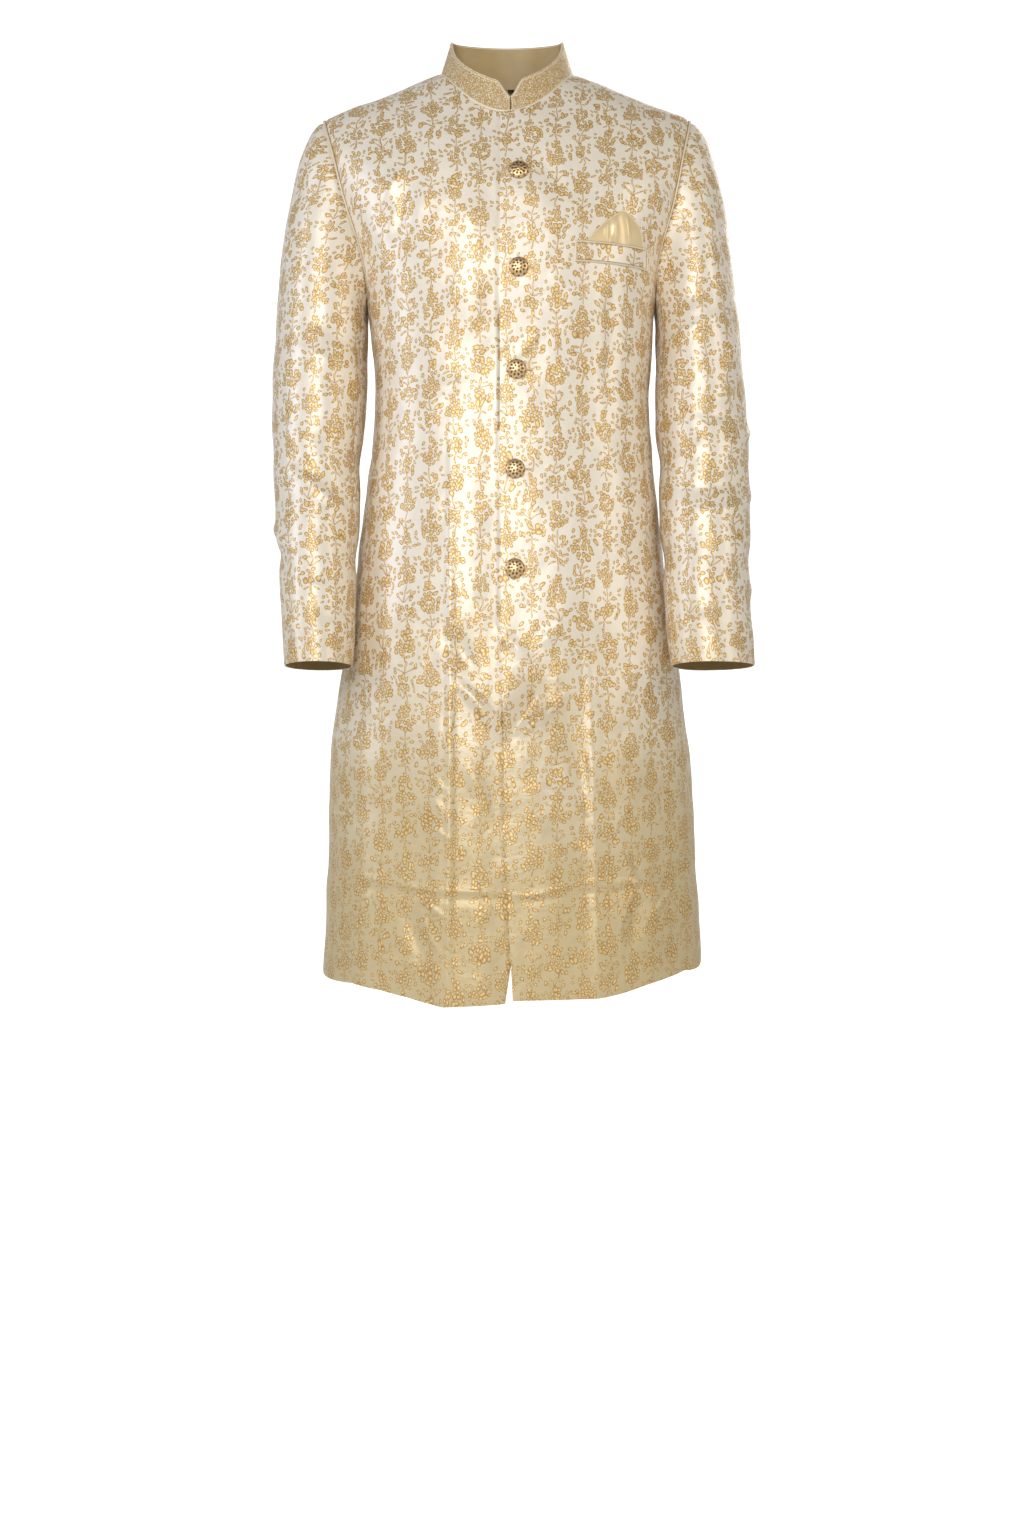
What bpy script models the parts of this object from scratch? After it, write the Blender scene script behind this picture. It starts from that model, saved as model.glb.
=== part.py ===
"""Sherwani coat, filled out as it is worn and open at neck, cuffs, hem and side slits.

Two lapped fronts, two backs, two sleeves of two pieces each, a stand collar, a welt pocket
with its satin square and five domed buttons, each a solid of its own. Metres, +Z up, the front
faces -Y, and the wearer's left is +X. The origin lies midway between the two high shoulder points, where the
shoulder seams meet the neck.
"""
import math

import bpy
import numpy as np

# Cloth
BODY_CLOTH = 0.0020       # brocade, canvas and lining together
SLEEVE_CLOTH = 0.0018
COLLAR_CLOTH = 0.0026
SEAM_GAP = 0.0003         # between two pieces that are sewn together
ARMHOLE_GAP = 0.00035
LAY_GAP = 0.0005          # under a piece that lies on a panel

# Neck and shoulders
NECK_HALF = 0.082         # from the centre to the high shoulder point
NECK_ROUND = 0.030        # softens the shoulder line's turn over the neck
SHOULDER_SLOPE = 0.394
FRONT_NECK_DROP = 0.069
BACK_NECK_RISE = 0.004
NECK_TUCK = 0.012         # fall of the right front's neckline where it passes under the lap
CHEST_LEVEL = -0.240      # below this height the body has its full depth
UNDERARM = -0.285
SHOULDER_TIP = -0.055

# Hem and slits
SLIT_TOP = -0.800
SLIT_BOTTOM = -1.100
SLIT_SPREAD = 0.007       # each panel's swing away from the side seam, at the hem
BACK_HEM = -1.108
LEFT_HEM_EDGE = -1.118    # at the front edge; the hem then rises towards the side
LEFT_HEM_RISE = 0.034
RIGHT_HEM_EDGE = -1.1215
RIGHT_HEM_RISE = 0.0165
RIGHT_HEM_DIP = 0.012

# Front closure: the left front laps over the right one
CLOSURE_COLUMNS = ("height", "over_edge", "under_edge")
CLOSURE = (
    (-1.130, 0.0075, -0.0030),
    (-0.990, 0.0005, 0.0160),
    (-0.700, -0.0058, 0.0220),
    (-0.400, -0.0082, 0.0220),
    (0.000, -0.0082, 0.0220),
)
LAP_STEP = 0.0008         # air between the two fronts where they lap
LAP_EASE = 0.040          # width over which the under front sinks behind the other

# Level sections of the body, from the hem up; roundness is the exponent of each oval
SECTION_COLUMNS = ("height", "centre", "half_width", "front", "back", "roundness")
SECTIONS = (
    (-1.130, 0.0080, 0.2345, 0.152, 0.160, 2.25),
    (-0.949, 0.0056, 0.2243, 0.146, 0.154, 2.25),
    (-0.826, 0.0037, 0.2188, 0.140, 0.148, 2.30),
    (-0.690, 0.0040, 0.2005, 0.132, 0.139, 2.40),
    (-0.550, 0.0050, 0.1810, 0.123, 0.128, 2.50),
    (-0.457, 0.0060, 0.1710, 0.118, 0.118, 2.50),
    (-0.396, 0.0060, 0.1680, 0.117, 0.113, 2.50),
    (-0.330, 0.0060, 0.1715, 0.122, 0.118, 2.50),
    (-0.285, 0.0050, 0.1760, 0.127, 0.124, 2.50),
    (-0.220, 0.0040, 0.1920, 0.127, 0.130, 2.50),
    (-0.170, 0.0030, 0.2140, 0.124, 0.130, 2.50),
    (-0.115, 0.0015, 0.2380, 0.117, 0.126, 2.50),
    (-0.055, 0.0000, 0.2620, 0.109, 0.118, 2.50),
    (0.040, 0.0000, 0.2800, 0.100, 0.110, 2.50),
)

# Armhole edge: how far round from the centre line (0) to the side seam (1) at each height
ARMHOLE_COLUMNS = ("height", "front_share", "back_share")
ARMHOLE = (
    (-0.285, 1.000, 1.000),
    (-0.281, 0.925, 0.930),
    (-0.270, 0.860, 0.875),
    (-0.250, 0.812, 0.835),
    (-0.220, 0.782, 0.806),
    (-0.170, 0.724, 0.746),
    (-0.115, 0.656, 0.668),
    (-0.055, 0.614, 0.614),
)

FOLD_FLARE = 0.12         # how far a fold moves outward on its way down
# Hanging folds of the skirt. Columns: face, across, outward depth, half breadth, height where
# the fold starts, height where it is full
SKIRT_FOLDS = (
    ("front", -0.068, 0.0030, 0.014, -0.430, -1.000),
    ("front", -0.150, 0.0040, 0.026, -0.640, -1.060),
    ("front", 0.105, 0.0045, 0.024, -0.640, -0.960),
    ("front", 0.175, -0.0040, 0.022, -0.700, -1.060),
    ("back", -0.120, 0.0060, 0.028, -0.480, -1.020),
    ("back", -0.050, -0.0045, 0.024, -0.560, -1.060),
    ("back", 0.070, 0.0055, 0.026, -0.500, -1.040),
    ("back", 0.150, -0.0050, 0.026, -0.600, -1.040),
)

# Level sections of the two sleeves below the armholes: inner and outer edge seen from the front
SLEEVE_COLUMNS = ("height", "right_in", "right_out", "left_in", "left_out", "forward", "half_depth")
SLEEVES = (
    (-0.740, 0.1815, 0.2615, 0.1945, 0.2930, 0.101, 0.0480),
    (-0.708, 0.1811, 0.2639, 0.1923, 0.2923, 0.092, 0.0490),
    (-0.648, 0.1799, 0.2693, 0.1871, 0.2895, 0.076, 0.0525),
    (-0.587, 0.1775, 0.2747, 0.1850, 0.2915, 0.060, 0.0560),
    (-0.525, 0.1775, 0.2801, 0.1830, 0.2934, 0.044, 0.0600),
    (-0.462, 0.1749, 0.2842, 0.1815, 0.2927, 0.030, 0.0640),
    (-0.399, 0.1712, 0.2856, 0.1805, 0.2905, 0.018, 0.0670),
    (-0.336, 0.1700, 0.2843, 0.1815, 0.2855, 0.008, 0.0700),
)
SLEEVE_HEAD_END = -0.336  # the sleeve head runs from the armhole to this level
HEAD_DROP = 0.55          # slope at which the head leaves the armhole
HEAD_SPREAD = 0.30        # how far it opens as it leaves
HEAD_START_PULL = 0.45    # strength of the curve's two ends
HEAD_END_PULL = 0.90
CUFF_FRONT = -0.7235
CUFF_BACK = -0.7310
# Soft elbow folds. Columns: height, slant, inward depth, half breadth, side of the sleeve
SLEEVE_FOLDS = (
    (-0.440, 0.020, 0.0030, 0.020, "front"),
    (-0.505, -0.018, 0.0035, 0.022, "front"),
    (-0.575, 0.022, 0.0030, 0.020, "inner"),
    (-0.470, 0.010, 0.0030, 0.024, "inner"),
)

# Collar: the base runs round the neckline and the top edge is a smaller loop above it
COLLAR_LIFT = 0.0017
COLLAR_MEET = 0.0044      # where the two front ends meet, across from the centre
COLLAR_SLIT = 0.0008
COLLAR_TOP_HALF = 0.0686
COLLAR_TOP_FRONT = 0.073
COLLAR_TOP_BACK = 0.036
COLLAR_FRONT_LEVEL = -0.030
COLLAR_SIDE_LEVEL = 0.0427
COLLAR_BACK_LEVEL = 0.0470
COLLAR_RISE_POWER = 1.5
COLLAR_END_SHARE = 0.49   # height of the closed front end as a share of the full band
COLLAR_END_ROUND = 0.020  # length over which each end rounds up to full height
COLLAR_END_POWER = 1.2
COLLAR_END_STEPS = (0.0, 0.0025, 0.006, 0.010, 0.0145, 0.020)

# Buttons, down the closure
BUTTON_RADIUS = 0.0115
BUTTON_DOME = 0.0062
BUTTON_RIM = 0.0016
BUTTON_SEGMENTS = 16
BUTTON_TURNS = (25, 50, 72)   # slopes of the dome's rings, in degrees
BUTTON_FIRST = -0.147
BUTTON_SPACING = 0.117
# Columns: place across, height of the button's flat back over the smooth form of the chest
BUTTONS = (
    (0.0140, -0.0004),
    (0.0138, -0.0004),
    (0.0112, 0.0006),
    (0.0096, 0.0006),
    (0.0094, 0.0006),
)

# Breast pocket on the left front
WELT_START = 0.0790
WELT_END = 0.1665
WELT_TOP = -0.2320
WELT_HEIGHT = 0.0245
WELT_CLOTH = 0.0016
SQUARE_START = 0.0950
SQUARE_END = 0.1600
SQUARE_APEX = 0.1360
SQUARE_HEIGHT = 0.0410
SQUARE_TOP_HALF = 0.005
SQUARE_TAPER = 2.2
SQUARE_CLOTH = 0.0014
SQUARE_PUFF = 0.0022

# Mesh divisions
FRONT_COLUMNS = 14
BACK_COLUMNS = 12
SKIRT_ROWS = 24
ARMHOLE_ROWS = 12
FRONT_EDGE_ROWS = 4       # of the armhole rows, how many stand beside the centre edge
BACK_EDGE_ROWS = 6
HEAD_RINGS = 9
ARM_RINGS = 15
FOREARM_SEAM = 10         # places of the sleeve seams among its 24 columns, from the shoulder tip
ELBOW_SEAM = 20           # down the front and up the back
SETTLE_ROUNDS = 8         # repeats that bring a point's height and place across into step

FRONT = -1
BACK = 1
LEFT = 1
RIGHT = -1


def column(rows, names, name):
    """A smooth curve through one named column of a table against the table's first column."""
    keys = np.array([row[0] for row in rows])
    values = np.array([row[names.index(name)] for row in rows])
    slopes = np.gradient(values, keys)

    def curve(at):
        at = np.clip(np.asarray(at, dtype=float), keys[0], keys[-1])
        cell = np.clip(np.searchsorted(keys, at, side="right") - 1, 0, len(keys) - 2)
        span = keys[cell + 1] - keys[cell]
        t = (at - keys[cell]) / span
        low = values[cell] * (1 + 2 * t) * (1 - t) ** 2 + slopes[cell] * span * t * (1 - t) ** 2
        high = values[cell + 1] * t * t * (3 - 2 * t) + slopes[cell + 1] * span * t * t * (t - 1)
        return low + high

    return curve


centre_at = column(SECTIONS, SECTION_COLUMNS, "centre")
half_width_at = column(SECTIONS, SECTION_COLUMNS, "half_width")
front_depth_at = column(SECTIONS, SECTION_COLUMNS, "front")
back_depth_at = column(SECTIONS, SECTION_COLUMNS, "back")
roundness_at = column(SECTIONS, SECTION_COLUMNS, "roundness")
over_edge_at = column(CLOSURE, CLOSURE_COLUMNS, "over_edge")
under_edge_at = column(CLOSURE, CLOSURE_COLUMNS, "under_edge")


def ease(value):
    """A soft step from 0 to 1."""
    value = np.clip(value, 0.0, 1.0)
    return value * value * (3 - 2 * value)


def unit(vectors):
    """Vectors of length one."""
    return vectors / np.maximum(np.linalg.norm(vectors, axis=-1, keepdims=True), 1e-12)


def shoulder_line(x):
    """Height of the shoulder seam, a slope that is rounded over the neck."""
    return SHOULDER_SLOPE * (math.hypot(NECK_HALF, NECK_ROUND) - np.hypot(x, NECK_ROUND))


def share_at(side, x, z):
    """How far round a point lies, from 0 at the centre line to 1 at the side seam."""
    across = side * (x - centre_at(z)) / half_width_at(z)
    turned = np.minimum(np.abs(across), 1.0) ** (roundness_at(z) / 2)
    return np.sign(across) * np.arcsin(turned) * 2 / math.pi


def across_at(side, share, z):
    """The inverse of share_at: a point's place across the body."""
    turned = np.sin(np.abs(share) * math.pi / 2) ** (2 / roundness_at(z))
    return centre_at(z) + side * np.sign(share) * half_width_at(z) * turned


def skirt_folds(face, x, z):
    """How far the hanging folds push the cloth out."""
    push = np.zeros(np.broadcast(x, z).shape)
    for kind, across, depth, breadth, top, full in SKIRT_FOLDS:
        if (kind == "front") == (face == FRONT):
            growth = ease((top - z) / (top - full))
            middle = across * (1 + FOLD_FLARE * growth)
            push = push + depth * growth * np.exp(-((x - middle) / breadth) ** 2)
    return push


def body_depth(face, x, z):
    """Depth of the body's outer surface in front of or behind the side seams.

    An oval section, drawn in over the chest by a quarter circle up to the shoulder seam,
    with the hanging folds added.
    """
    depth = front_depth_at(z) if face == FRONT else back_depth_at(z)
    power = roundness_at(z)
    across = np.minimum(np.abs(x - centre_at(z)) / half_width_at(z), 1.0)
    oval = (1 - across ** power) ** (1 / power)
    line = shoulder_line(x)
    below = np.clip((line - z) / (line - CHEST_LEVEL), 0.0, 1.0)
    rise = np.sqrt(1 - (1 - below) ** 2)
    return depth * oval * rise + skirt_folds(face, x, z) * ease(oval * 3)


def lap_sink(x, z):
    """How far the right front sinks behind the left one, where the two lap."""
    start = over_edge_at(z) - LAP_EASE
    return (BODY_CLOTH + LAP_STEP) * ease((x - start) / (LAP_EASE - 0.006))


def slit_swing(share, z):
    """How far a panel swings away from the side seam below the top of the slit."""
    fall = ease((SLIT_TOP - z) / (SLIT_TOP - SLIT_BOTTOM))
    return SLIT_SPREAD * fall * np.clip(share, 0.0, 1.0) ** 4


def body_point(face, side, x, z, share):
    """A point of a panel's outer surface."""
    depth = body_depth(face, x, z) + SEAM_GAP / 2 + slit_swing(share, z)
    if face == FRONT and side == RIGHT:
        depth = depth - lap_sink(x, z)
    return np.stack([x, face * depth, z], axis=-1)


def hem_height(face, side, u):
    """Height of the hem from the inner edge (0) to the side (1)."""
    if face == BACK:
        return BACK_HEM + 0.0 * u
    if side == LEFT:
        return LEFT_HEM_EDGE + LEFT_HEM_RISE * u ** 3
    dip = RIGHT_HEM_DIP * np.sin(math.pi * u) * (1 - u)
    return RIGHT_HEM_EDGE + RIGHT_HEM_RISE * u ** 2 - dip


def inner_edge(face, side):
    """The panel's edge from underarm level up the centre and round the neckline, as x and z."""
    if face == FRONT:
        edge = over_edge_at if side == LEFT else under_edge_at
        top = side * float(edge(-FRONT_NECK_DROP)) / NECK_HALF
        turn = np.linspace(math.asin(top), math.pi / 2, ARMHOLE_ROWS - FRONT_EDGE_ROWS + 1)
        under_lap = NECK_TUCK * np.minimum(turn, 0.0)
        neck_z = -FRONT_NECK_DROP * np.cos(np.maximum(turn, 0.0)) ** 2 + under_lap
        straight_z = np.linspace(UNDERARM, neck_z[0], FRONT_EDGE_ROWS + 1)[:-1]
        straight_x = edge(straight_z)
    else:
        turn = np.linspace(0.0, math.pi / 2, ARMHOLE_ROWS - BACK_EDGE_ROWS + 1)
        neck_z = BACK_NECK_RISE * np.cos(turn) ** 2
        straight_z = np.linspace(UNDERARM, neck_z[0], BACK_EDGE_ROWS + 1)[:-1]
        straight_x = centre_at(straight_z) + side * SEAM_GAP / 2
    neck_x = side * NECK_HALF * np.sin(turn)
    neck_x[0] = edge(neck_z[0]) if face == FRONT else side * SEAM_GAP / 2
    return np.concatenate([straight_x, neck_x]), np.concatenate([straight_z, neck_z])


def panel_surface(face, side, columns):
    """Outer points of a front or back, rows from hem to shoulder, columns from centre to side."""
    u = np.linspace(0.0, 1.0, columns + 1)
    edge_x, edge_z = inner_edge(face, side)
    share_name = "front_share" if face == FRONT else "back_share"
    armhole_share = column(ARMHOLE, ARMHOLE_COLUMNS, share_name)
    steps = (1 - np.cos(np.linspace(0.0, math.pi, ARMHOLE_ROWS + 1))) / 2
    arm_z = UNDERARM + (SHOULDER_TIP - UNDERARM) * steps
    arm_share = armhole_share(arm_z)
    for _ in range(SETTLE_ROUNDS):
        arm_x = across_at(side, arm_share, arm_z)
        arm_z[-1] = shoulder_line(arm_x[-1])

    edge_share = share_at(side, edge_x, edge_z)
    share = edge_share[:, None] + (arm_share - edge_share)[:, None] * u
    edge_below = shoulder_line(edge_x) - edge_z
    arm_below = shoulder_line(arm_x) - arm_z
    below = edge_below[:, None] + (arm_below - edge_below)[:, None] * u
    z = edge_z[:, None] + (arm_z - edge_z)[:, None] * u
    for _ in range(SETTLE_ROUNDS):
        x = across_at(side, share, z)
        z = shoulder_line(x) - below
    upper = body_point(face, side, x, z, share)

    hem = hem_height(face, side, u)
    tau = np.linspace(0.0, 1.0, SKIRT_ROWS + 1)[:-1, None]
    low_z = hem + (z[0] - hem) * tau
    if face == FRONT:
        edge = over_edge_at if side == LEFT else under_edge_at
        low_edge = edge(low_z[:, :1])
    else:
        low_edge = centre_at(low_z[:, :1]) + side * SEAM_GAP / 2
    low_share = share_at(side, low_edge, low_z[:, :1])
    low_share = low_share + (1 - low_share) * u
    lower = body_point(face, side, across_at(side, low_share, low_z), low_z, low_share)
    return np.concatenate([lower, upper])


def surface_normals(points, ring=False):
    """Unit normals of a grid of points, turned away from the grid's middle line."""
    along = np.gradient(points, axis=0)
    if ring:
        across = np.roll(points, -1, axis=1) - np.roll(points, 1, axis=1)
    else:
        across = np.gradient(points, axis=1)
    normals = unit(np.cross(along, across))
    middle = points.mean(axis=1, keepdims=True) if ring else np.array([0.0, 0.0, -0.4])
    outward = ((points - middle) * normals * (1, 1, 0)).sum()
    return normals if outward > 0 else -normals


def make_object(name, verts, faces, material):
    """A mesh object whose faces point out, whichever way they were listed."""
    verts = np.asarray(verts, dtype=float)
    middle = verts.mean(axis=0)
    volume = 0.0
    for face in faces:
        fan = verts[list(face)] - middle
        for k in range(1, len(face) - 1):
            volume += float(np.dot(fan[0], np.cross(fan[k], fan[k + 1])))
    if volume < 0:
        faces = [tuple(reversed(face)) for face in faces]
    mesh = bpy.data.meshes.new(name)
    mesh.from_pydata(verts.tolist(), [], faces)
    mesh.materials.append(material)
    mesh.shade_smooth()
    mesh.set_sharp_from_angle(angle=math.radians(50))
    piece = bpy.data.objects.new(name, mesh)
    bpy.context.collection.objects.link(piece)
    piece.parent = bpy.data.objects["coat"]
    return piece


def cloth_wall(name, outer, inner, material):
    """A closed wall between two grids of points."""
    rows, columns = outer.shape[:2]
    count = rows * columns
    faces = []

    def at(layer, row, col):
        return layer * count + row * columns + col

    for row in range(rows - 1):
        for col in range(columns - 1):
            after = col + 1
            faces.append((at(0, row, col), at(0, row, after), at(0, row + 1, after), at(0, row + 1, col)))
            faces.append((at(1, row, col), at(1, row + 1, col), at(1, row + 1, after), at(1, row, after)))
    last = rows - 1
    for col in range(columns - 1):
        faces.append((at(0, 0, col), at(1, 0, col), at(1, 0, col + 1), at(0, 0, col + 1)))
        faces.append((at(0, last, col), at(0, last, col + 1), at(1, last, col + 1), at(1, last, col)))
    end = columns - 1
    for row in range(rows - 1):
        faces.append((at(0, row, 0), at(0, row + 1, 0), at(1, row + 1, 0), at(1, row, 0)))
        faces.append((at(0, row, end), at(1, row, end), at(1, row + 1, end), at(0, row + 1, end)))
    verts = np.concatenate([outer.reshape(-1, 3), inner.reshape(-1, 3)])
    return make_object(name, verts, faces, material)


def make_panel(name, face, side, columns, material):
    """One front or back, with square edges at the seams that it shares with a neighbour."""
    outer = panel_surface(face, side, columns)
    normals = surface_normals(outer)
    normals[-1, :, 1] = 0.0
    normals[:SKIRT_ROWS + 1, -1, 1] = 0.0
    if face == BACK:
        normals[:SKIRT_ROWS + BACK_EDGE_ROWS + 1, 0, 0] = 0.0
    normals = unit(normals)
    cloth_wall(name, outer, outer - BODY_CLOTH * normals, material)
    return outer


def armhole_loop(front, back):
    """The sleeve's first ring, just off the armhole edges, and the way it leaves each edge.

    The ring starts at the shoulder tip, runs down the front edge to the underarm and comes
    back up the back edge.
    """
    top = front.shape[0] - 1
    edges = []
    leaves = []
    for panel in (front, back):
        edge = panel[SKIRT_ROWS:, -1]
        across = unit(edge - panel[SKIRT_ROWS:, -2])
        run = unit(np.gradient(edge, axis=0))
        leave = unit(across - (across * run).sum(axis=1, keepdims=True) * run)
        leave[0] = (0.0, 0.0, 1.0)
        edges.append(edge)
        leaves.append(leave)
    tip = (front[top, -1] + back[top, -1]) / 2
    tip_leave = unit(leaves[0][-1] + leaves[1][-1])
    under = (front[SKIRT_ROWS, -1] + back[SKIRT_ROWS, -1]) / 2
    points = np.concatenate([[tip], edges[0][-2:0:-1], [under], edges[1][1:-1]])
    leave = np.concatenate([[tip_leave], leaves[0][-2:0:-1], [leaves[0][0]], leaves[1][1:-1]])
    return points + ARMHOLE_GAP * leave, leave


def sleeve_section(side, angle, z):
    """A point of a sleeve's level section; the angle runs from the outer side to the front."""
    prefix = "left" if side == LEFT else "right"
    inside = column(SLEEVES, SLEEVE_COLUMNS, prefix + "_in")(z)
    outside = column(SLEEVES, SLEEVE_COLUMNS, prefix + "_out")(z)
    forward = column(SLEEVES, SLEEVE_COLUMNS, "forward")(z)
    half_depth = column(SLEEVES, SLEEVE_COLUMNS, "half_depth")(z)
    sink = np.zeros(np.broadcast(angle, z).shape)
    for height, slant, depth, breadth, turned in SLEEVE_FOLDS:
        facing = math.pi / 2 if turned == "front" else math.pi
        reach = np.clip(np.cos(angle - facing), 0.0, 1.0) ** 0.7
        sink = sink + depth * reach * np.exp(-((z - height - slant * np.cos(angle)) / breadth) ** 2)
    x = side * ((inside + outside) / 2 + ((outside - inside) / 2 - sink) * np.cos(angle))
    y = -forward - (half_depth - sink) * np.sin(angle)
    return np.stack([x, y, z + 0.0 * x], axis=-1)


def sleeve_surface(side, loop, leave):
    """Rings of a sleeve: a smooth head from the armhole to the arm, then level sections."""
    count = len(loop)
    half = count // 2
    steps = np.linalg.norm(np.roll(loop, -1, axis=0) - loop, axis=1)
    front_way = np.concatenate([[0.0], np.cumsum(steps[:half])])
    back_way = np.concatenate([[0.0], np.cumsum(steps[half:])])
    angle = np.empty(count)
    angle[:half] = math.pi * front_way[:half] / front_way[-1]
    angle[half:] = math.pi + math.pi * back_way[:-1] / back_way[-1]

    head_end = sleeve_section(side, angle, np.full(count, SLEEVE_HEAD_END))
    reach = np.linalg.norm(head_end - loop, axis=1)[:, None]
    middle = loop.mean(axis=0)
    radial = unit((loop - middle) * (0, 1, 1))
    start = unit(np.array([side * 1.0, 0.0, -HEAD_DROP]) + HEAD_SPREAD * radial)
    below = sleeve_section(side, angle, np.full(count, SLEEVE_HEAD_END - 0.02))
    end = unit(below - head_end)
    rings = []
    for t in np.linspace(0.0, 1.0, HEAD_RINGS + 1):
        ring = (1 + 2 * t) * (1 - t) ** 2 * loop + t * t * (3 - 2 * t) * head_end
        ring = ring + HEAD_START_PULL * reach * t * (1 - t) ** 2 * start
        ring = ring + HEAD_END_PULL * reach * t * t * (t - 1) * end
        rings.append(ring)
    cuff = (CUFF_FRONT + CUFF_BACK) / 2 + (CUFF_FRONT - CUFF_BACK) / 2 * np.sin(angle)
    for t in np.linspace(0.0, 1.0, ARM_RINGS + 1)[1:]:
        rings.append(sleeve_section(side, angle, SLEEVE_HEAD_END + (cuff - SLEEVE_HEAD_END) * t))
    return np.array(rings)


def make_sleeve(name, side, front, back, material):
    """A sleeve of two pieces, sewn round its armhole and open at the cuff.

    The top sleeve goes round the outer side, and the under sleeve closes it between the forearm
    seam in front and the elbow seam behind.
    """
    loop, leave = armhole_loop(front, back)
    outer = sleeve_surface(side, loop, leave)
    normals = surface_normals(outer, ring=True)
    over = np.maximum((normals[0] * leave).sum(axis=1, keepdims=True), 0.0)
    normals[0] = unit(normals[0] - over * leave)
    around = unit(np.roll(outer, -1, axis=1) - np.roll(outer, 1, axis=1))
    count = len(loop)
    pieces = (("_under", FOREARM_SEAM, ELBOW_SEAM), ("_top", ELBOW_SEAM, FOREARM_SEAM + count))
    for ending, first, last in pieces:
        columns = np.arange(first, last + 1) % count
        strip = outer[:, columns]
        strip[:, 0] += around[:, columns[0]] * SEAM_GAP / 2
        strip[:, -1] -= around[:, columns[-1]] * SEAM_GAP / 2
        inner = strip - SLEEVE_CLOTH * normals[:, columns]
        cloth_wall(name + ending, strip, inner, material)


def collar_half(side):
    """Base and full-height top edge of half the collar, from the front end to the centre back."""
    start = (side * COLLAR_MEET + COLLAR_SLIT / 2) / NECK_HALF
    ends = start + np.array(COLLAR_END_STEPS) / NECK_HALF
    front_turn = np.concatenate([ends, np.linspace(ends[-1], math.pi / 2, 8)[1:]])
    back_turn = np.linspace(math.pi / 2, 0.0, 8)[1:]
    lifted = NECK_HALF - COLLAR_LIFT * 0.6
    front_x = side * lifted * np.sin(front_turn)
    front_z = -(FRONT_NECK_DROP - COLLAR_LIFT) * np.cos(front_turn) ** 2
    front_y = -body_depth(FRONT, front_x, front_z)
    back_x = side * lifted * np.sin(back_turn)
    back_z = (BACK_NECK_RISE + COLLAR_LIFT) * np.cos(back_turn) ** 2
    back_y = body_depth(BACK, back_x, back_z)
    base = np.stack([np.concatenate([front_x, back_x]), np.concatenate([front_y, back_y]),
                     np.concatenate([front_z, back_z])], axis=-1)

    climb = COLLAR_SIDE_LEVEL - COLLAR_FRONT_LEVEL
    quarter = np.clip(front_turn, 0.0, None) * 2 / math.pi
    top_z = COLLAR_FRONT_LEVEL + climb * quarter ** COLLAR_RISE_POWER
    top_back_z = COLLAR_SIDE_LEVEL + (COLLAR_BACK_LEVEL - COLLAR_SIDE_LEVEL) * np.cos(back_turn)
    top_x = COLLAR_TOP_HALF * np.sin(np.concatenate([front_turn, back_turn]))
    near_end = ease(1 - (front_turn - start) * NECK_HALF / COLLAR_END_ROUND)
    upright = np.abs(front_x) * np.sign(front_turn)
    top_x[:len(front_turn)] += near_end * (upright - top_x[:len(front_turn)])
    top_y = np.concatenate([-COLLAR_TOP_FRONT * np.cos(front_turn), COLLAR_TOP_BACK * np.cos(back_turn)])
    top = np.stack([side * top_x, top_y, np.concatenate([top_z, top_back_z])], axis=-1)

    along = (np.concatenate([front_turn, math.pi - back_turn]) - start) * NECK_HALF
    rounding = np.sin(np.clip(along / COLLAR_END_ROUND, 0.0, 1.0) * math.pi / 2) ** COLLAR_END_POWER
    share = COLLAR_END_SHARE + (1 - COLLAR_END_SHARE) * rounding
    return base, base + (top - base) * share[:, None]


def make_collar(material):
    """The stand collar, one band from front end to front end round the back of the neck."""
    base_left, top_left = collar_half(LEFT)
    base_right, top_right = collar_half(RIGHT)
    base = np.concatenate([base_left, base_right[-2::-1]])
    top = np.concatenate([top_left, top_right[-2::-1]])
    rows = [base + (top - base) * t for t in np.linspace(0.0, 1.0, 5)]
    outer = np.array(rows)
    normals = surface_normals(outer)
    middle = np.array([0.0, -0.02, 0.0])
    if ((outer - middle) * normals * (1, 1, 0)).sum() < 0:
        normals = -normals
    for end in (0, -1):
        normals[:, end, 0] = 0.0
    cloth_wall("collar", outer, outer - COLLAR_CLOTH * unit(normals), material)


def patch_on_front(x, z, lift):
    """Points over the left front, moved out along its surface by a lift."""
    step = 0.002
    here = np.stack([x, -body_depth(FRONT, x, z) - SEAM_GAP / 2, z], axis=-1)
    aside = np.stack([x + step, -body_depth(FRONT, x + step, z) - SEAM_GAP / 2, z], axis=-1)
    above = np.stack([x, -body_depth(FRONT, x, z + step) - SEAM_GAP / 2, z + step], axis=-1)
    normal = unit(np.cross(aside - here, above - here))
    return here + np.asarray(lift)[..., None] * normal


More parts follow.
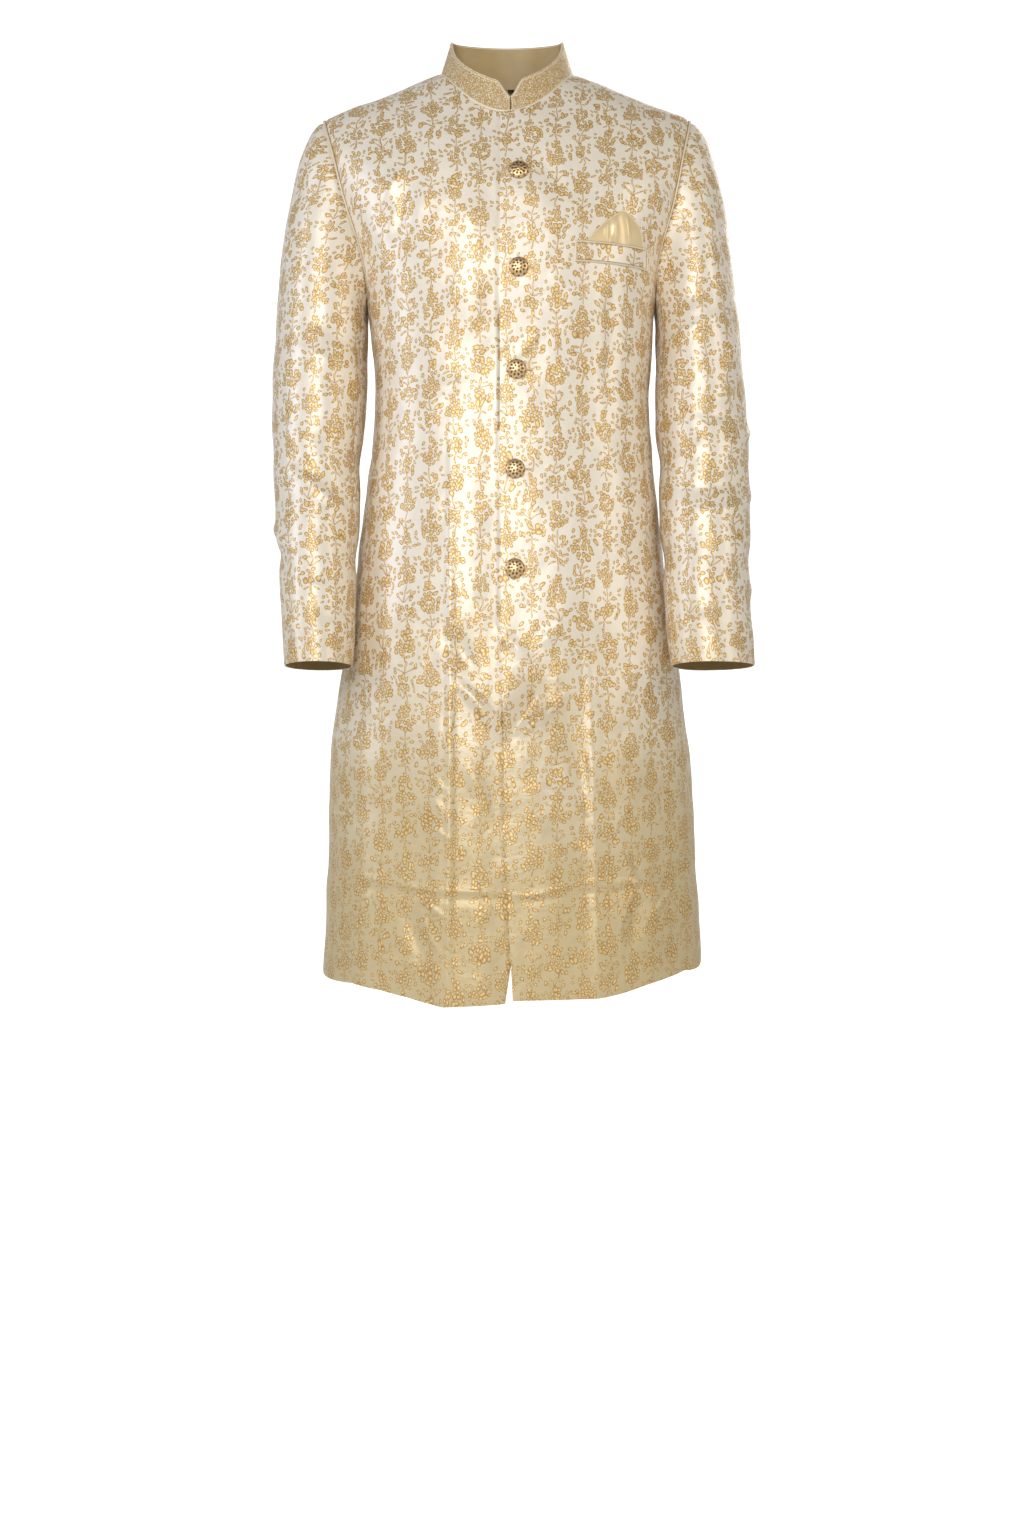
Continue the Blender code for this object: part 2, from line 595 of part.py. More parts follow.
def make_pocket(brocade, satin):
    """The welt of the breast pocket and the satin square that stands out of it."""
    u, v = np.meshgrid(np.linspace(0.0, 1.0, 11), np.linspace(0.0, 1.0, 4))
    x = WELT_START + (WELT_END - WELT_START) * u
    z = WELT_TOP - WELT_HEIGHT * (1 - v)
    inner = patch_on_front(x, z, LAY_GAP + 0.0 * u)
    cloth_wall("pocket_welt", patch_on_front(x, z, LAY_GAP + WELT_CLOTH + 0.0 * u), inner, brocade)

    u, v = np.meshgrid(np.linspace(0.0, 1.0, 8), np.linspace(0.0, 1.0, 7))
    start = SQUARE_START + (SQUARE_APEX - SQUARE_TOP_HALF - SQUARE_START) * v ** SQUARE_TAPER
    end = SQUARE_END + (SQUARE_APEX + SQUARE_TOP_HALF - SQUARE_END) * v ** SQUARE_TAPER
    x = start + (end - start) * u
    z = WELT_TOP + LAY_GAP + SQUARE_HEIGHT * v
    puff = LAY_GAP + SQUARE_PUFF * np.sin(math.pi * u) * np.sin(math.pi * v)
    inner = patch_on_front(x, z, puff)
    cloth_wall("pocket_square", patch_on_front(x, z, puff + SQUARE_CLOTH), inner, satin)


def make_button(name, x, z, stand, material):
    """A domed button: a short upright rim and a low dome, seated just off the left front."""
    segments = BUTTON_SEGMENTS
    profile = [(1.0, 0.0), (1.0, BUTTON_RIM)]
    for turn in BUTTON_TURNS:
        slope = math.radians(turn)
        profile.append((math.cos(slope), BUTTON_RIM + (BUTTON_DOME - BUTTON_RIM) * math.sin(slope)))
    verts = []
    for radius, height in profile:
        for k in range(segments):
            turn = 2 * math.pi * k / segments
            away = BUTTON_RADIUS * radius
            verts.append((away * math.cos(turn), away * math.sin(turn), height))
    verts.append((0.0, 0.0, BUTTON_DOME))
    faces = [tuple(reversed(range(segments)))]
    for ring in range(len(profile) - 1):
        for k in range(segments):
            after = (k + 1) % segments
            low = ring * segments
            faces.append((low + k, low + after, low + segments + after, low + segments + k))
    last = (len(profile) - 1) * segments
    for k in range(segments):
        faces.append((last + k, last + (k + 1) % segments, len(verts) - 1))
    button = make_object(name, verts, faces, material)
    seat = patch_on_front(np.array(x), np.array(z), np.array(stand))
    over = patch_on_front(np.array(x), np.array(z), np.array(stand + 0.01))
    lean = math.atan2(over[2] - seat[2], seat[1] - over[1])
    button.location = seat
    button.rotation_euler = (math.pi / 2 - lean, 0.0, 0.0)


def make_material(name, colour, roughness, metallic=0.0):
    """A plain finish."""
    material = bpy.data.materials.new(name)
    material.use_nodes = True
    shader = material.node_tree.nodes["Principled BSDF"]
    shader.inputs["Base Color"].default_value = (*colour, 1.0)
    shader.inputs["Roughness"].default_value = roughness
    shader.inputs["Metallic"].default_value = metallic
    return material


def build():
    """The whole coat."""
    for thing in list(bpy.data.objects):
        bpy.data.objects.remove(thing, do_unlink=True)
    frame = bpy.data.objects.new("coat", None)
    bpy.context.collection.objects.link(frame)

    brocade = make_material("brocade", (0.76, 0.66, 0.47), 0.45)
    embroidery = make_material("collar_embroidery", (0.62, 0.45, 0.22), 0.55)
    satin = make_material("satin", (0.72, 0.56, 0.32), 0.35)
    metal = make_material("button_metal", (0.48, 0.35, 0.16), 0.38, 1.0)

    fronts = {}
    backs = {}
    for side, word in ((LEFT, "left"), (RIGHT, "right")):
        fronts[side] = make_panel("front_" + word, FRONT, side, FRONT_COLUMNS, brocade)
        backs[side] = make_panel("back_" + word, BACK, side, BACK_COLUMNS, brocade)
        make_sleeve("sleeve_" + word, side, fronts[side], backs[side], brocade)
    make_collar(embroidery)
    make_pocket(brocade, satin)
    for number, (across, stand) in enumerate(BUTTONS):
        height = BUTTON_FIRST - BUTTON_SPACING * number
        make_button(f"button_{number + 1}", across, height, stand, metal)


build()
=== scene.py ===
"""Looks of the sherwani coat: figured brocade with pressed and hanging creases, an embroidered
stand collar with cord piping, domed filigree buttons, a welt pocket and its satin square.

Metres, +Z up, the front faces -Y and the wearer's left is +X, as in the frame.
"""

import math

import bpy
import numpy as np
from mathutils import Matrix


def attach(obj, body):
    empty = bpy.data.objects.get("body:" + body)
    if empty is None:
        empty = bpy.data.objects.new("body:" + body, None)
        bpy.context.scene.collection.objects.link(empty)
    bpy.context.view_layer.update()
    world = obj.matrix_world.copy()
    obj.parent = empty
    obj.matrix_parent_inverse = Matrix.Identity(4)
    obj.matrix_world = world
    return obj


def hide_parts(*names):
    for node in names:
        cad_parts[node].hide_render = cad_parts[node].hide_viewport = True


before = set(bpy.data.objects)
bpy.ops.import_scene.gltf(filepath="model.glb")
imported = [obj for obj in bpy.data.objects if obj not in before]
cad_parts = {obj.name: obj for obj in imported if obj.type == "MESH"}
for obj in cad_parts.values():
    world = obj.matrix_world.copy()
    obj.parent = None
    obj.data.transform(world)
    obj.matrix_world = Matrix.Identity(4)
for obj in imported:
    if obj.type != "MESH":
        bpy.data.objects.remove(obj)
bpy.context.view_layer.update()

# Cloth: thicknesses, and gaps at seams, at the armholes and under what lies on a front
BODY_CLOTH = 0.0020
SLEEVE_CLOTH = 0.0018
COLLAR_CLOTH = 0.0026
SEAM_GAP = 0.0003
ARMHOLE_GAP = 0.00035
LAY_GAP = 0.0005

# Neck and shoulders
NECK_HALF = 0.082
NECK_ROUND = 0.030
SHOULDER_SLOPE = 0.394
FRONT_NECK_DROP = 0.069
BACK_NECK_RISE = 0.004
NECK_TUCK = 0.012         # fall of the right front's neckline where it passes under the lap
CHEST_LEVEL = -0.240
UNDERARM = -0.285
SHOULDER_TIP = -0.055

# Hem and slits
SLIT_TOP = -0.800
SLIT_BOTTOM = -1.100
SLIT_SPREAD = 0.007
BACK_HEM = -1.108
LEFT_HEM_EDGE = -1.118
LEFT_HEM_RISE = 0.034
RIGHT_HEM_EDGE = -1.1215
RIGHT_HEM_RISE = 0.0165
RIGHT_HEM_DIP = 0.012

# Front closure
CLOSURE_COLUMNS = ("height", "over_edge", "under_edge")
CLOSURE = (
    (-1.130, 0.0075, -0.0030),
    (-0.990, 0.0005, 0.0160),
    (-0.700, -0.0058, 0.0220),
    (-0.400, -0.0082, 0.0220),
    (0.000, -0.0082, 0.0220),
)
LAP_STEP = 0.0008         # the right front's sink behind the left one, besides the cloth, and the
LAP_EASE = 0.040          # breadth over which it sinks

# Level sections of the body
SECTION_COLUMNS = ("height", "centre", "half_width", "front", "back", "roundness")
SECTIONS = (
    (-1.130, 0.0080, 0.2345, 0.152, 0.160, 2.25),
    (-0.949, 0.0056, 0.2243, 0.146, 0.154, 2.25),
    (-0.826, 0.0037, 0.2188, 0.140, 0.148, 2.30),
    (-0.690, 0.0040, 0.2005, 0.132, 0.139, 2.40),
    (-0.550, 0.0050, 0.1810, 0.123, 0.128, 2.50),
    (-0.457, 0.0060, 0.1710, 0.118, 0.118, 2.50),
    (-0.396, 0.0060, 0.1680, 0.117, 0.113, 2.50),
    (-0.330, 0.0060, 0.1715, 0.122, 0.118, 2.50),
    (-0.285, 0.0050, 0.1760, 0.127, 0.124, 2.50),
    (-0.220, 0.0040, 0.1920, 0.127, 0.130, 2.50),
    (-0.170, 0.0030, 0.2140, 0.124, 0.130, 2.50),
    (-0.115, 0.0015, 0.2380, 0.117, 0.126, 2.50),
    (-0.055, 0.0000, 0.2620, 0.109, 0.118, 2.50),
    (0.040, 0.0000, 0.2800, 0.100, 0.110, 2.50),
)
ARMHOLE_COLUMNS = ("height", "front_share", "back_share")
ARMHOLE = (
    (-0.285, 1.000, 1.000),
    (-0.281, 0.925, 0.930),
    (-0.270, 0.860, 0.875),
    (-0.250, 0.812, 0.835),
    (-0.220, 0.782, 0.806),
    (-0.170, 0.724, 0.746),
    (-0.115, 0.656, 0.668),
    (-0.055, 0.614, 0.614),
)
FOLD_FLARE = 0.12         # how far the hanging folds spread towards the hem
# face, place across, push outwards, breadth, and the heights where it begins and is full
SKIRT_FOLDS = (
    ("front", -0.068, 0.0030, 0.014, -0.430, -1.000),
    ("front", -0.150, 0.0040, 0.026, -0.640, -1.060),
    ("front", 0.105, 0.0045, 0.024, -0.640, -0.960),
    ("front", 0.175, -0.0040, 0.022, -0.700, -1.060),
    ("back", -0.120, 0.0060, 0.028, -0.480, -1.020),
    ("back", -0.050, -0.0045, 0.024, -0.560, -1.060),
    ("back", 0.070, 0.0055, 0.026, -0.500, -1.040),
    ("back", 0.150, -0.0050, 0.026, -0.600, -1.040),
)

# Sleeves
SLEEVE_COLUMNS = ("height", "right_in", "right_out", "left_in", "left_out", "forward", "half_depth")
SLEEVES = (
    (-0.740, 0.1815, 0.2615, 0.1945, 0.2930, 0.101, 0.0480),
    (-0.708, 0.1811, 0.2639, 0.1923, 0.2923, 0.092, 0.0490),
    (-0.648, 0.1799, 0.2693, 0.1871, 0.2895, 0.076, 0.0525),
    (-0.587, 0.1775, 0.2747, 0.1850, 0.2915, 0.060, 0.0560),
    (-0.525, 0.1775, 0.2801, 0.1830, 0.2934, 0.044, 0.0600),
    (-0.462, 0.1749, 0.2842, 0.1815, 0.2927, 0.030, 0.0640),
    (-0.399, 0.1712, 0.2856, 0.1805, 0.2905, 0.018, 0.0670),
    (-0.336, 0.1700, 0.2843, 0.1815, 0.2855, 0.008, 0.0700),
)
SLEEVE_HEAD_END = -0.336
HEAD_DROP = 0.55          # the way the sleeve leaves the armhole, down and outwards
HEAD_SPREAD = 0.30
HEAD_START_PULL = 0.45    # and how strongly the head's curves follow both their ends
HEAD_END_PULL = 0.90
CUFF_FRONT = -0.7235
CUFF_BACK = -0.7310
# height, slant, depth, breadth and the face that sinks
SLEEVE_FOLDS = (
    (-0.440, 0.020, 0.0030, 0.020, "front"),
    (-0.505, -0.018, 0.0035, 0.022, "front"),
    (-0.575, 0.022, 0.0030, 0.020, "inner"),
    (-0.470, 0.010, 0.0030, 0.024, "inner"),
)

# Collar
COLLAR_LIFT = 0.0017      # of its base off the neckline
COLLAR_MEET = 0.0044      # where its ends meet in front, and the gap between them
COLLAR_SLIT = 0.0018
# its top edge: half width, depths in front and behind, heights in front, at the side and behind
COLLAR_TOP_HALF = 0.0686
COLLAR_TOP_FRONT = 0.073
COLLAR_TOP_BACK = 0.036
COLLAR_FRONT_LEVEL = -0.030
COLLAR_SIDE_LEVEL = 0.0427
COLLAR_BACK_LEVEL = 0.0470
COLLAR_RISE_POWER = 1.5
# its rounded ends: share of the height at the very end, length of the rounding, and its power
COLLAR_END_SHARE = 0.49
COLLAR_END_ROUND = 0.020
COLLAR_END_POWER = 1.2
# cords on it, and the tape inside
COLLAR_PIPING = 0.0014
BASE_CORD = 0.0018
COUCHED_ROW = 0.0006
COUCHED_INSET = 0.0035    # of the couched row from the collar's top edge
NECK_TAPE_HALF = 0.120
NECK_TAPE_RISE = 0.0015
NECK_TAPE_DROP = 0.0090
NECK_TAPE_CLOTH = 0.0005
DOWN = np.array([0.0, 0.0, -1.0])

# Buttons
BUTTON_RADIUS = 0.0115
BUTTON_DOME = 0.0062
BUTTON_RIM = 0.0016
BUTTON_RELIEF = 0.0006
BUTTON_BACK_SHADE = 0.3       # how dark the back's brass is painted, a painted shade under the button, against 1 on what is raised
BUTTON_RINGS = 44
BUTTON_SEGMENTS = 156
PETALS = 10
BUTTONHOLE_REACH = 0.0070     # of the buttonhole's stitching past the button
BUTTONHOLE_CORD = 0.0011
BUTTON_FIRST = -0.147
BUTTON_SPACING = 0.117
# from the top down: place across, and height of the flat back over the chest's smooth form
BUTTONS = (
    (0.0140, -0.0004),
    (0.0138, -0.0004),
    (0.0112, 0.0006),
    (0.0096, 0.0006),
    (0.0094, 0.0006),
)

# Breast pocket
WELT_START = 0.0790
WELT_END = 0.1665
WELT_TOP = -0.2320
WELT_HEIGHT = 0.0245
WELT_CLOTH = 0.0016
WELT_CORD = 0.0011
WELT_STITCH = 0.0004
WELT_TACK = 0.0007
SQUARE_START = 0.0950
SQUARE_END = 0.1600
SQUARE_APEX = 0.1360
SQUARE_HEIGHT = 0.0385
SQUARE_TOP_HALF = 0.005
SQUARE_TAPERS = (1.20, 2.4)   # left side, right side
SQUARE_CLOTH = 0.0014
SQUARE_PUFF = 0.0022
SQUARE_SHOULDER = 0.0035      # fall of the square's top towards its two sides
SQUARE_HEM = 0.0007
# the square's upright folds: place across, lean to the top, height and breadth
SQUARE_FOLDS = (
    (0.1150, 0.0020, 0.0009, 0.0028),
    (0.1200, 0.0012, -0.0008, 0.0020),
    (0.1258, -0.0004, 0.0010, 0.0030),
    (0.1345, -0.0010, -0.0009, 0.0050),
    (0.1430, -0.0050, 0.0009, 0.0030),
)

# Mesh divisions
FRONT_COLUMNS = 112
BACK_COLUMNS = 84
SKIRT_ROWS = 256
ARMHOLE_ROWS = 96
FRONT_EDGE_ROWS = 32
BACK_EDGE_ROWS = 48
HEAD_RINGS = 60
ARM_RINGS = 130
FOREARM_SEAM = 40         # the sleeve seams' places among its 96 columns
ELBOW_SEAM = 80
SETTLE_ROUNDS = 8         # steps that bring an edge's height and place together

# Signs of the faces along Y and of the wearer's sides along X
FRONT = -1
BACK = 1
LEFT = 1
RIGHT = -1

FLOOR = -1.80

# How far the hem is cut up from its curves: distances across, then the lifts there. The last
# number is the lift behind, at the side's corner.
HEM_LIFTS = {
    LEFT: ((0.00, 0.108, 0.139, 0.168, 0.213, 0.236),
           (0.0010, 0.0029, 0.0075, 0.0140, 0.0195, 0.0105), 0.0240),
    RIGHT: ((0.00, 0.070, 0.113, 0.147, 0.183, 0.224),
            (0.0010, 0.0016, 0.0120, 0.0180, 0.0190, 0.0105), 0.0120),
}

# Dips of the cloth at its edges and seams, as depth and breadth
SIDE_SEAM_DIP = (0.0021, 0.0034)
CENTRE_SEAM_DIP = (0.0007, 0.0028)
FRONT_EDGE_DIP = (0.0005, 0.0018)
SHOULDER_SEAM_DIP = (0.0005, 0.0025)
HEM_DIP = (0.0004, 0.0018)
LAP_DIP = (0.0015, 0.0015)    # of the right front, along the left front's edge
SLEEVE_HEAD_DIP = (0.0016, 0.0036)
SLEEVE_SEAM_DIP = (0.0006, 0.0026)

# Creases: how far the cloth's stiffness raises the tables' heights, and slow waves between them
CREASE_BODY = 2.3
CREASE_SLEEVE = 1.3
BODY_WAVES = ((0.0022, 0.075, 2.0), (0.0006, 0.026, 0.6))    # height, length and seed
SLEEVE_WAVE = (0.0016, 0.055, 3.0)
METRES_PER_DEGREE = 0.0010    # round a sleeve

# Meshes: edges sharper than this many degrees show, and the rounded caps of a cord's open ends
SHARP_ANGLE = 48
CAP_REACHES = (0.98, 0.75, 0.4)     # in radii past the cord's last point
CAP_WIDTHS = (0.15, 0.66, 0.92)     # in radii
OUTWARD = (0.0, -1.0, 0.0)    # the way the front faces

# Creases of the fronts: height, breadth above or left of the line, breadth below or right of it,
# then the line's points as across and up. A negative height is a trough.
FRONT_CREASES = (
    # the packing crease that runs across the skirt, its two halves met at the closure
    (0.0011, 0.0045, 0.0022, ((-0.190, -0.977), (-0.160, -0.977), (-0.1225, -0.985), (-0.0735, -0.991))),
    (0.0008, 0.0040, 0.0020, ((-0.0735, -0.991), (-0.040, -0.991), (-0.001, -0.994))),
    (0.0009, 0.0040, 0.0022, ((0.004, -0.995), (0.034, -0.997), (0.072, -0.983), (0.104, -0.980))),
    (0.0012, 0.0045, 0.0022, ((0.104, -0.980), (0.153, -0.983), (0.203, -0.978), (0.230, -0.959))),
    (-0.0010, 0.0050, 0.0060, ((-0.190, -0.986), (-0.122, -0.994), (-0.060, -0.999), (-0.004, -1.001))),
    (-0.0011, 0.0050, 0.0065, ((0.006, -1.003), (0.060, -0.995), (0.150, -0.991), (0.225, -0.972))),
    # the star of small creases near the left side
    (0.0012, 0.0032, 0.0032, ((0.1295, -0.945), (0.141, -0.961), (0.1505, -0.980))),
    (0.0011, 0.0032, 0.0032, ((0.1505, -0.985), (0.141, -1.007), (0.1295, -1.032), (0.134, -1.061))),
    (0.0009, 0.0034, 0.0034, ((0.1995, -0.984), (0.186, -1.002), (0.170, -1.023))),
    (-0.0012, 0.0080, 0.0080, ((0.164, -0.996), (0.152, -1.018), (0.147, -1.045))),
    # diagonals below the crease on the right front
    (0.0011, 0.0034, 0.0034, ((-0.108, -0.997), (-0.089, -1.008), (-0.070, -1.023))),
    (0.0009, 0.0036, 0.0036, ((-0.102, -1.009), (-0.094, -1.032), (-0.082, -1.061))),
    (0.0008, 0.0030, 0.0030, ((-0.154, -1.069), (-0.130, -1.073), (-0.103, -1.075))),
    (-0.0012, 0.0090, 0.0090, ((-0.118, -1.012), (-0.108, -1.040), (-0.096, -1.068))),
    # the hollow that hangs from the lowest button
    (-0.0040, 0.0150, 0.0120, ((0.042, -0.742), (0.030, -0.772), (0.012, -0.796), (-0.001, -0.816))),
    (0.0026, 0.0050, 0.0045, ((0.069, -0.765), (0.050, -0.783), (0.028, -0.796), (0.0105, -0.814))),
    (0.0024, 0.0050, 0.0050, ((-0.064, -0.745), (-0.0385, -0.765), (-0.015, -0.800), (-0.0035, -0.820))),
    (-0.0022, 0.0120, 0.0120, ((-0.070, -0.690), (-0.050, -0.715), (-0.035, -0.742))),
    (0.0012, 0.0050, 0.0050, ((-0.012, -0.690), (0.008, -0.704), (0.026, -0.722))),
    (0.0014, 0.0055, 0.0045, ((0.034, -0.704), (0.050, -0.695), (0.067, -0.681))),
    (-0.0016, 0.0100, 0.0090, ((0.043, -0.915), (0.072, -0.929), (0.098, -0.936))),
    (0.0010, 0.0060, 0.0050, ((0.030, -0.868), (0.062, -0.880), (0.090, -0.899))),
    (-0.0014, 0.0110, 0.0110, ((0.070, -0.815), (0.086, -0.845), (0.088, -0.880))),
    (0.0010, 0.0060, 0.0060, ((-0.050, -0.842), (-0.030, -0.872), (-0.022, -0.905))),
    # the chest
    (0.0009, 0.0060, 0.0055, ((-0.124, -0.140), (-0.134, -0.160), (-0.146, -0.180))),
    (0.0008, 0.0060, 0.0055, ((-0.126, -0.186), (-0.135, -0.204), (-0.144, -0.222))),
    (-0.0014, 0.0100, 0.0100, ((-0.112, -0.152), (-0.124, -0.190), (-0.130, -0.226))),
    (0.0009, 0.0045, 0.0040, ((0.036, -0.342), (0.022, -0.356), (0.008, -0.366))),
    (-0.0010, 0.0100, 0.0100, ((0.126, -0.278), (0.123, -0.350), (0.119, -0.435))),
    (-0.0010, 0.0120, 0.0120, ((0.030, -0.120), (0.052, -0.150), (0.066, -0.190))),
    (0.0008, 0.0070, 0.0070, ((0.050, -0.455), (0.080, -0.447), (0.112, -0.452))),
    (-0.0009, 0.0080, 0.0080, ((-0.030, -0.392), (-0.066, -0.402), (-0.110, -0.398))),
    # the pressed line beside the right front's fold, and the small pulls along it
    (0.0011, 0.0028, 0.0050, ((-0.066, -0.430), (-0.067, -0.650), (-0.0665, -0.900), (-0.070, -1.127))),
    (0.0007, 0.0025, 0.0025, ((-0.090, -0.858), (-0.079, -0.866), (-0.068, -0.878))),
    (0.0007, 0.0025, 0.0025, ((-0.088, -0.884), (-0.078, -0.893), (-0.068, -0.905))),
    (0.0007, 0.0025, 0.0025, ((-0.087, -0.912), (-0.078, -0.922), (-0.067, -0.932))),
    (0.0006, 0.0025, 0.0025, ((-0.066, -0.924), (-0.055, -0.936), (-0.046, -0.951))),
    (0.0009, 0.0050, 0.0050, ((0.094, -0.670), (0.098, -0.780), (0.100, -0.880), (0.107, -1.115))),
)

# Creases of the backs, placed in the same manner
BACK_CREASES = (
    (0.0011, 0.0045, 0.0022, ((-0.205, -0.966), (-0.150, -0.978), (-0.082, -0.974), (-0.010, -0.981))),
    (0.0010, 0.0045, 0.0022, ((0.010, -0.982), (0.066, -0.989), (0.128, -0.979), (0.214, -0.986))),
    (-0.0010, 0.0050, 0.0060, ((-0.200, -0.976), (-0.120, -0.986), (-0.040, -0.985), (0.000, -0.990))),
    (-0.0010, 0.0050, 0.0060, ((0.012, -0.991), (0.080, -0.998), (0.150, -0.988), (0.205, -0.995))),
    (0.0011, 0.0034, 0.0034, ((-0.128, -0.984), (-0.112, -1.006), (-0.104, -1.034))),
    (0.0010, 0.0034, 0.0034, ((0.094, -0.948), (0.106, -0.966), (0.120, -0.982))),
    (0.0009, 0.0034, 0.0034, ((0.132, -0.990), (0.121, -1.016), (0.118, -1.047))),
    (-0.0016, 0.0150, 0.0150, ((-0.080, -0.470), (-0.048, -0.500), (-0.012, -0.512))),
    (0.0011, 0.0060, 0.0060, ((-0.098, -0.498), (-0.058, -0.528), (-0.008, -0.540))),
    (-0.0017, 0.0150, 0.0150, ((0.104, -0.436), (0.070, -0.462), (0.034, -0.470))),
    (0.0010, 0.0060, 0.0060, ((0.112, -0.474), (0.078, -0.498), (0.036, -0.503))),
    (0.0014, 0.0070, 0.0060, ((0.132, -0.210), (0.112, -0.258), (0.084, -0.292))),
    (-0.0020, 0.0130, 0.0130, ((0.146, -0.228), (0.126, -0.276), (0.100, -0.312))),
    (0.0014, 0.0070, 0.0060, ((-0.128, -0.218), (-0.110, -0.262), (-0.088, -0.304))),
    (-0.0020, 0.0130, 0.0130, ((-0.142, -0.236), (-0.126, -0.284), (-0.102, -0.322))),
    (-0.0009, 0.0160, 0.0160, ((-0.084, -0.070), (-0.020, -0.092), (0.052, -0.078))),
    (0.0006, 0.0090, 0.0090, ((-0.066, -0.100), (-0.010, -0.118), (0.030, -0.112))),
    (0.0014, 0.0055, 0.0055, ((-0.062, -0.700), (-0.034, -0.738), (-0.012, -0.768))),
    (-0.0018, 0.0120, 0.0120, ((0.030, -0.720), (0.058, -0.762), (0.066, -0.812))),
    (0.0010, 0.0040, 0.0050, ((0.066, -0.560), (0.072, -0.760), (0.078, -1.100))),
    (0.0010, 0.0050, 0.0040, ((-0.118, -0.600), (-0.126, -0.800), (-0.134, -1.100))),
)

# Creases of the sleeves: height, breadth above, breadth below, then the line's points as degrees
# round from the outer side (90 is the front, 180 the inner side) and height
RIGHT_SLEEVE_CREASES = (
    (-0.0026, 0.0130, 0.0090, ((20, -0.455), (62, -0.478), (112, -0.514), (150, -0.530))),
    (0.0019, 0.0060, 0.0050, ((36, -0.494), (84, -0.506), (128, -0.545), (168, -0.552))),
    (-0.0030, 0.0120, 0.0120, ((-30, -0.575), (14, -0.598), (48, -0.610))),
    (0.0022, 0.0055, 0.0050, ((-20, -0.548), (22, -0.570), (56, -0.592), (74, -0.590))),
    (0.0014, 0.0055, 0.0050, ((60, -0.628), (100, -0.640), (148, -0.625))),
    (-0.0020, 0.0110, 0.0110, ((84, -0.660), (124, -0.672), (176, -0.655))),
    (0.0012, 0.0060, 0.0060, ((20, -0.664), (48, -0.680), (70, -0.702))),
    (-0.0024, 0.0140, 0.0120, ((60, -0.300), (112, -0.330), (160, -0.345))),
    (0.0016, 0.0070, 0.0060, ((48, -0.340), (104, -0.362), (150, -0.380))),
    (-0.0020, 0.0120, 0.0120, ((190, -0.440), (228, -0.462), (262, -0.452))),
    (0.0018, 0.0070, 0.0060, ((196, -0.478), (238, -0.500), (276, -0.486))),
    (-0.0022, 0.0120, 0.0120, ((214, -0.560), (250, -0.580), (300, -0.566))),
    (0.0014, 0.0070, 0.0060, ((206, -0.600), (246, -0.620), (290, -0.606))),
    (0.0014, 0.0080, 0.0070, ((238, -0.230), (262, -0.292), (300, -0.330))),
)
LEFT_SLEEVE_CREASES = (
    (-0.0026, 0.0140, 0.0110, ((28, -0.408), (68, -0.428), (118, -0.420), (160, -0.440))),
    (0.0021, 0.0060, 0.0050, ((-12, -0.430), (26, -0.452), (64, -0.470))),
    (0.0013, 0.0050, 0.0050, ((38, -0.392), (20, -0.424), (8, -0.448))),
    (-0.0028, 0.0130, 0.0120, ((10, -0.486), (58, -0.508), (104, -0.520), (146, -0.508))),
    (0.0020, 0.0060, 0.0055, ((-16, -0.508), (24, -0.530), (70, -0.545), (108, -0.544))),
    (0.0015, 0.0060, 0.0050, ((92, -0.462), (128, -0.484), (166, -0.480))),
    (-0.0024, 0.0130, 0.0130, ((-10, -0.590), (30, -0.612), (74, -0.604))),
    (0.0015, 0.0060, 0.0060, ((-20, -0.622), (20, -0.644), (52, -0.668))),
    (-0.0016, 0.0110, 0.0110, ((70, -0.652), (112, -0.664), (156, -0.650))),
    (-0.0024, 0.0140, 0.0120, ((64, -0.262), (104, -0.290), (150, -0.302))),
    (0.0016, 0.0070, 0.0060, ((52, -0.300), (98, -0.322), (142, -0.340))),
    (0.0015, 0.0060, 0.0060, ((26, -0.322), (48, -0.350), (62, -0.384))),
    (-0.0022, 0.0120, 0.0120, ((188, -0.424), (230, -0.446), (270, -0.438))),
    (0.0018, 0.0070, 0.0060, ((200, -0.464), (240, -0.484), (282, -0.470))),
    (-0.0020, 0.0120, 0.0120, ((210, -0.548), (254, -0.566), (296, -0.556))),
    (0.0014, 0.0070, 0.0060, ((204, -0.588), (250, -0.606), (292, -0.596))),
    (0.0014, 0.0080, 0.0070, ((242, -0.222), (268, -0.280), (302, -0.322))),
)


def column(rows, names, name):
    """A smooth curve through one named column of a table against the table's first column: a
    cubic between each two rows, with the slopes of their neighbours."""
    keys = np.array([row[0] for row in rows])
    values = np.array([row[names.index(name)] for row in rows])
    slopes = np.gradient(values, keys)

    def curve(at):
        """The named column's value at a height."""
        at = np.clip(np.asarray(at, dtype=float), keys[0], keys[-1])
        cell = np.clip(np.searchsorted(keys, at, side="right") - 1, 0, len(keys) - 2)
        span = keys[cell + 1] - keys[cell]
        t = (at - keys[cell]) / span
        low = values[cell] * (1 + 2 * t) * (1 - t) ** 2 + slopes[cell] * span * t * (1 - t) ** 2
        high = values[cell + 1] * t * t * (3 - 2 * t) + slopes[cell + 1] * span * t * t * (t - 1)
        return low + high

    return curve


centre_at = column(SECTIONS, SECTION_COLUMNS, "centre")
half_width_at = column(SECTIONS, SECTION_COLUMNS, "half_width")
front_depth_at = column(SECTIONS, SECTION_COLUMNS, "front")
back_depth_at = column(SECTIONS, SECTION_COLUMNS, "back")
roundness_at = column(SECTIONS, SECTION_COLUMNS, "roundness")
over_edge_at = column(CLOSURE, CLOSURE_COLUMNS, "over_edge")
under_edge_at = column(CLOSURE, CLOSURE_COLUMNS, "under_edge")


def ease(value):
    """A soft step from 0 to 1: 3t^2 - 2t^3."""
    value = np.clip(value, 0.0, 1.0)
    return value * value * (3 - 2 * value)


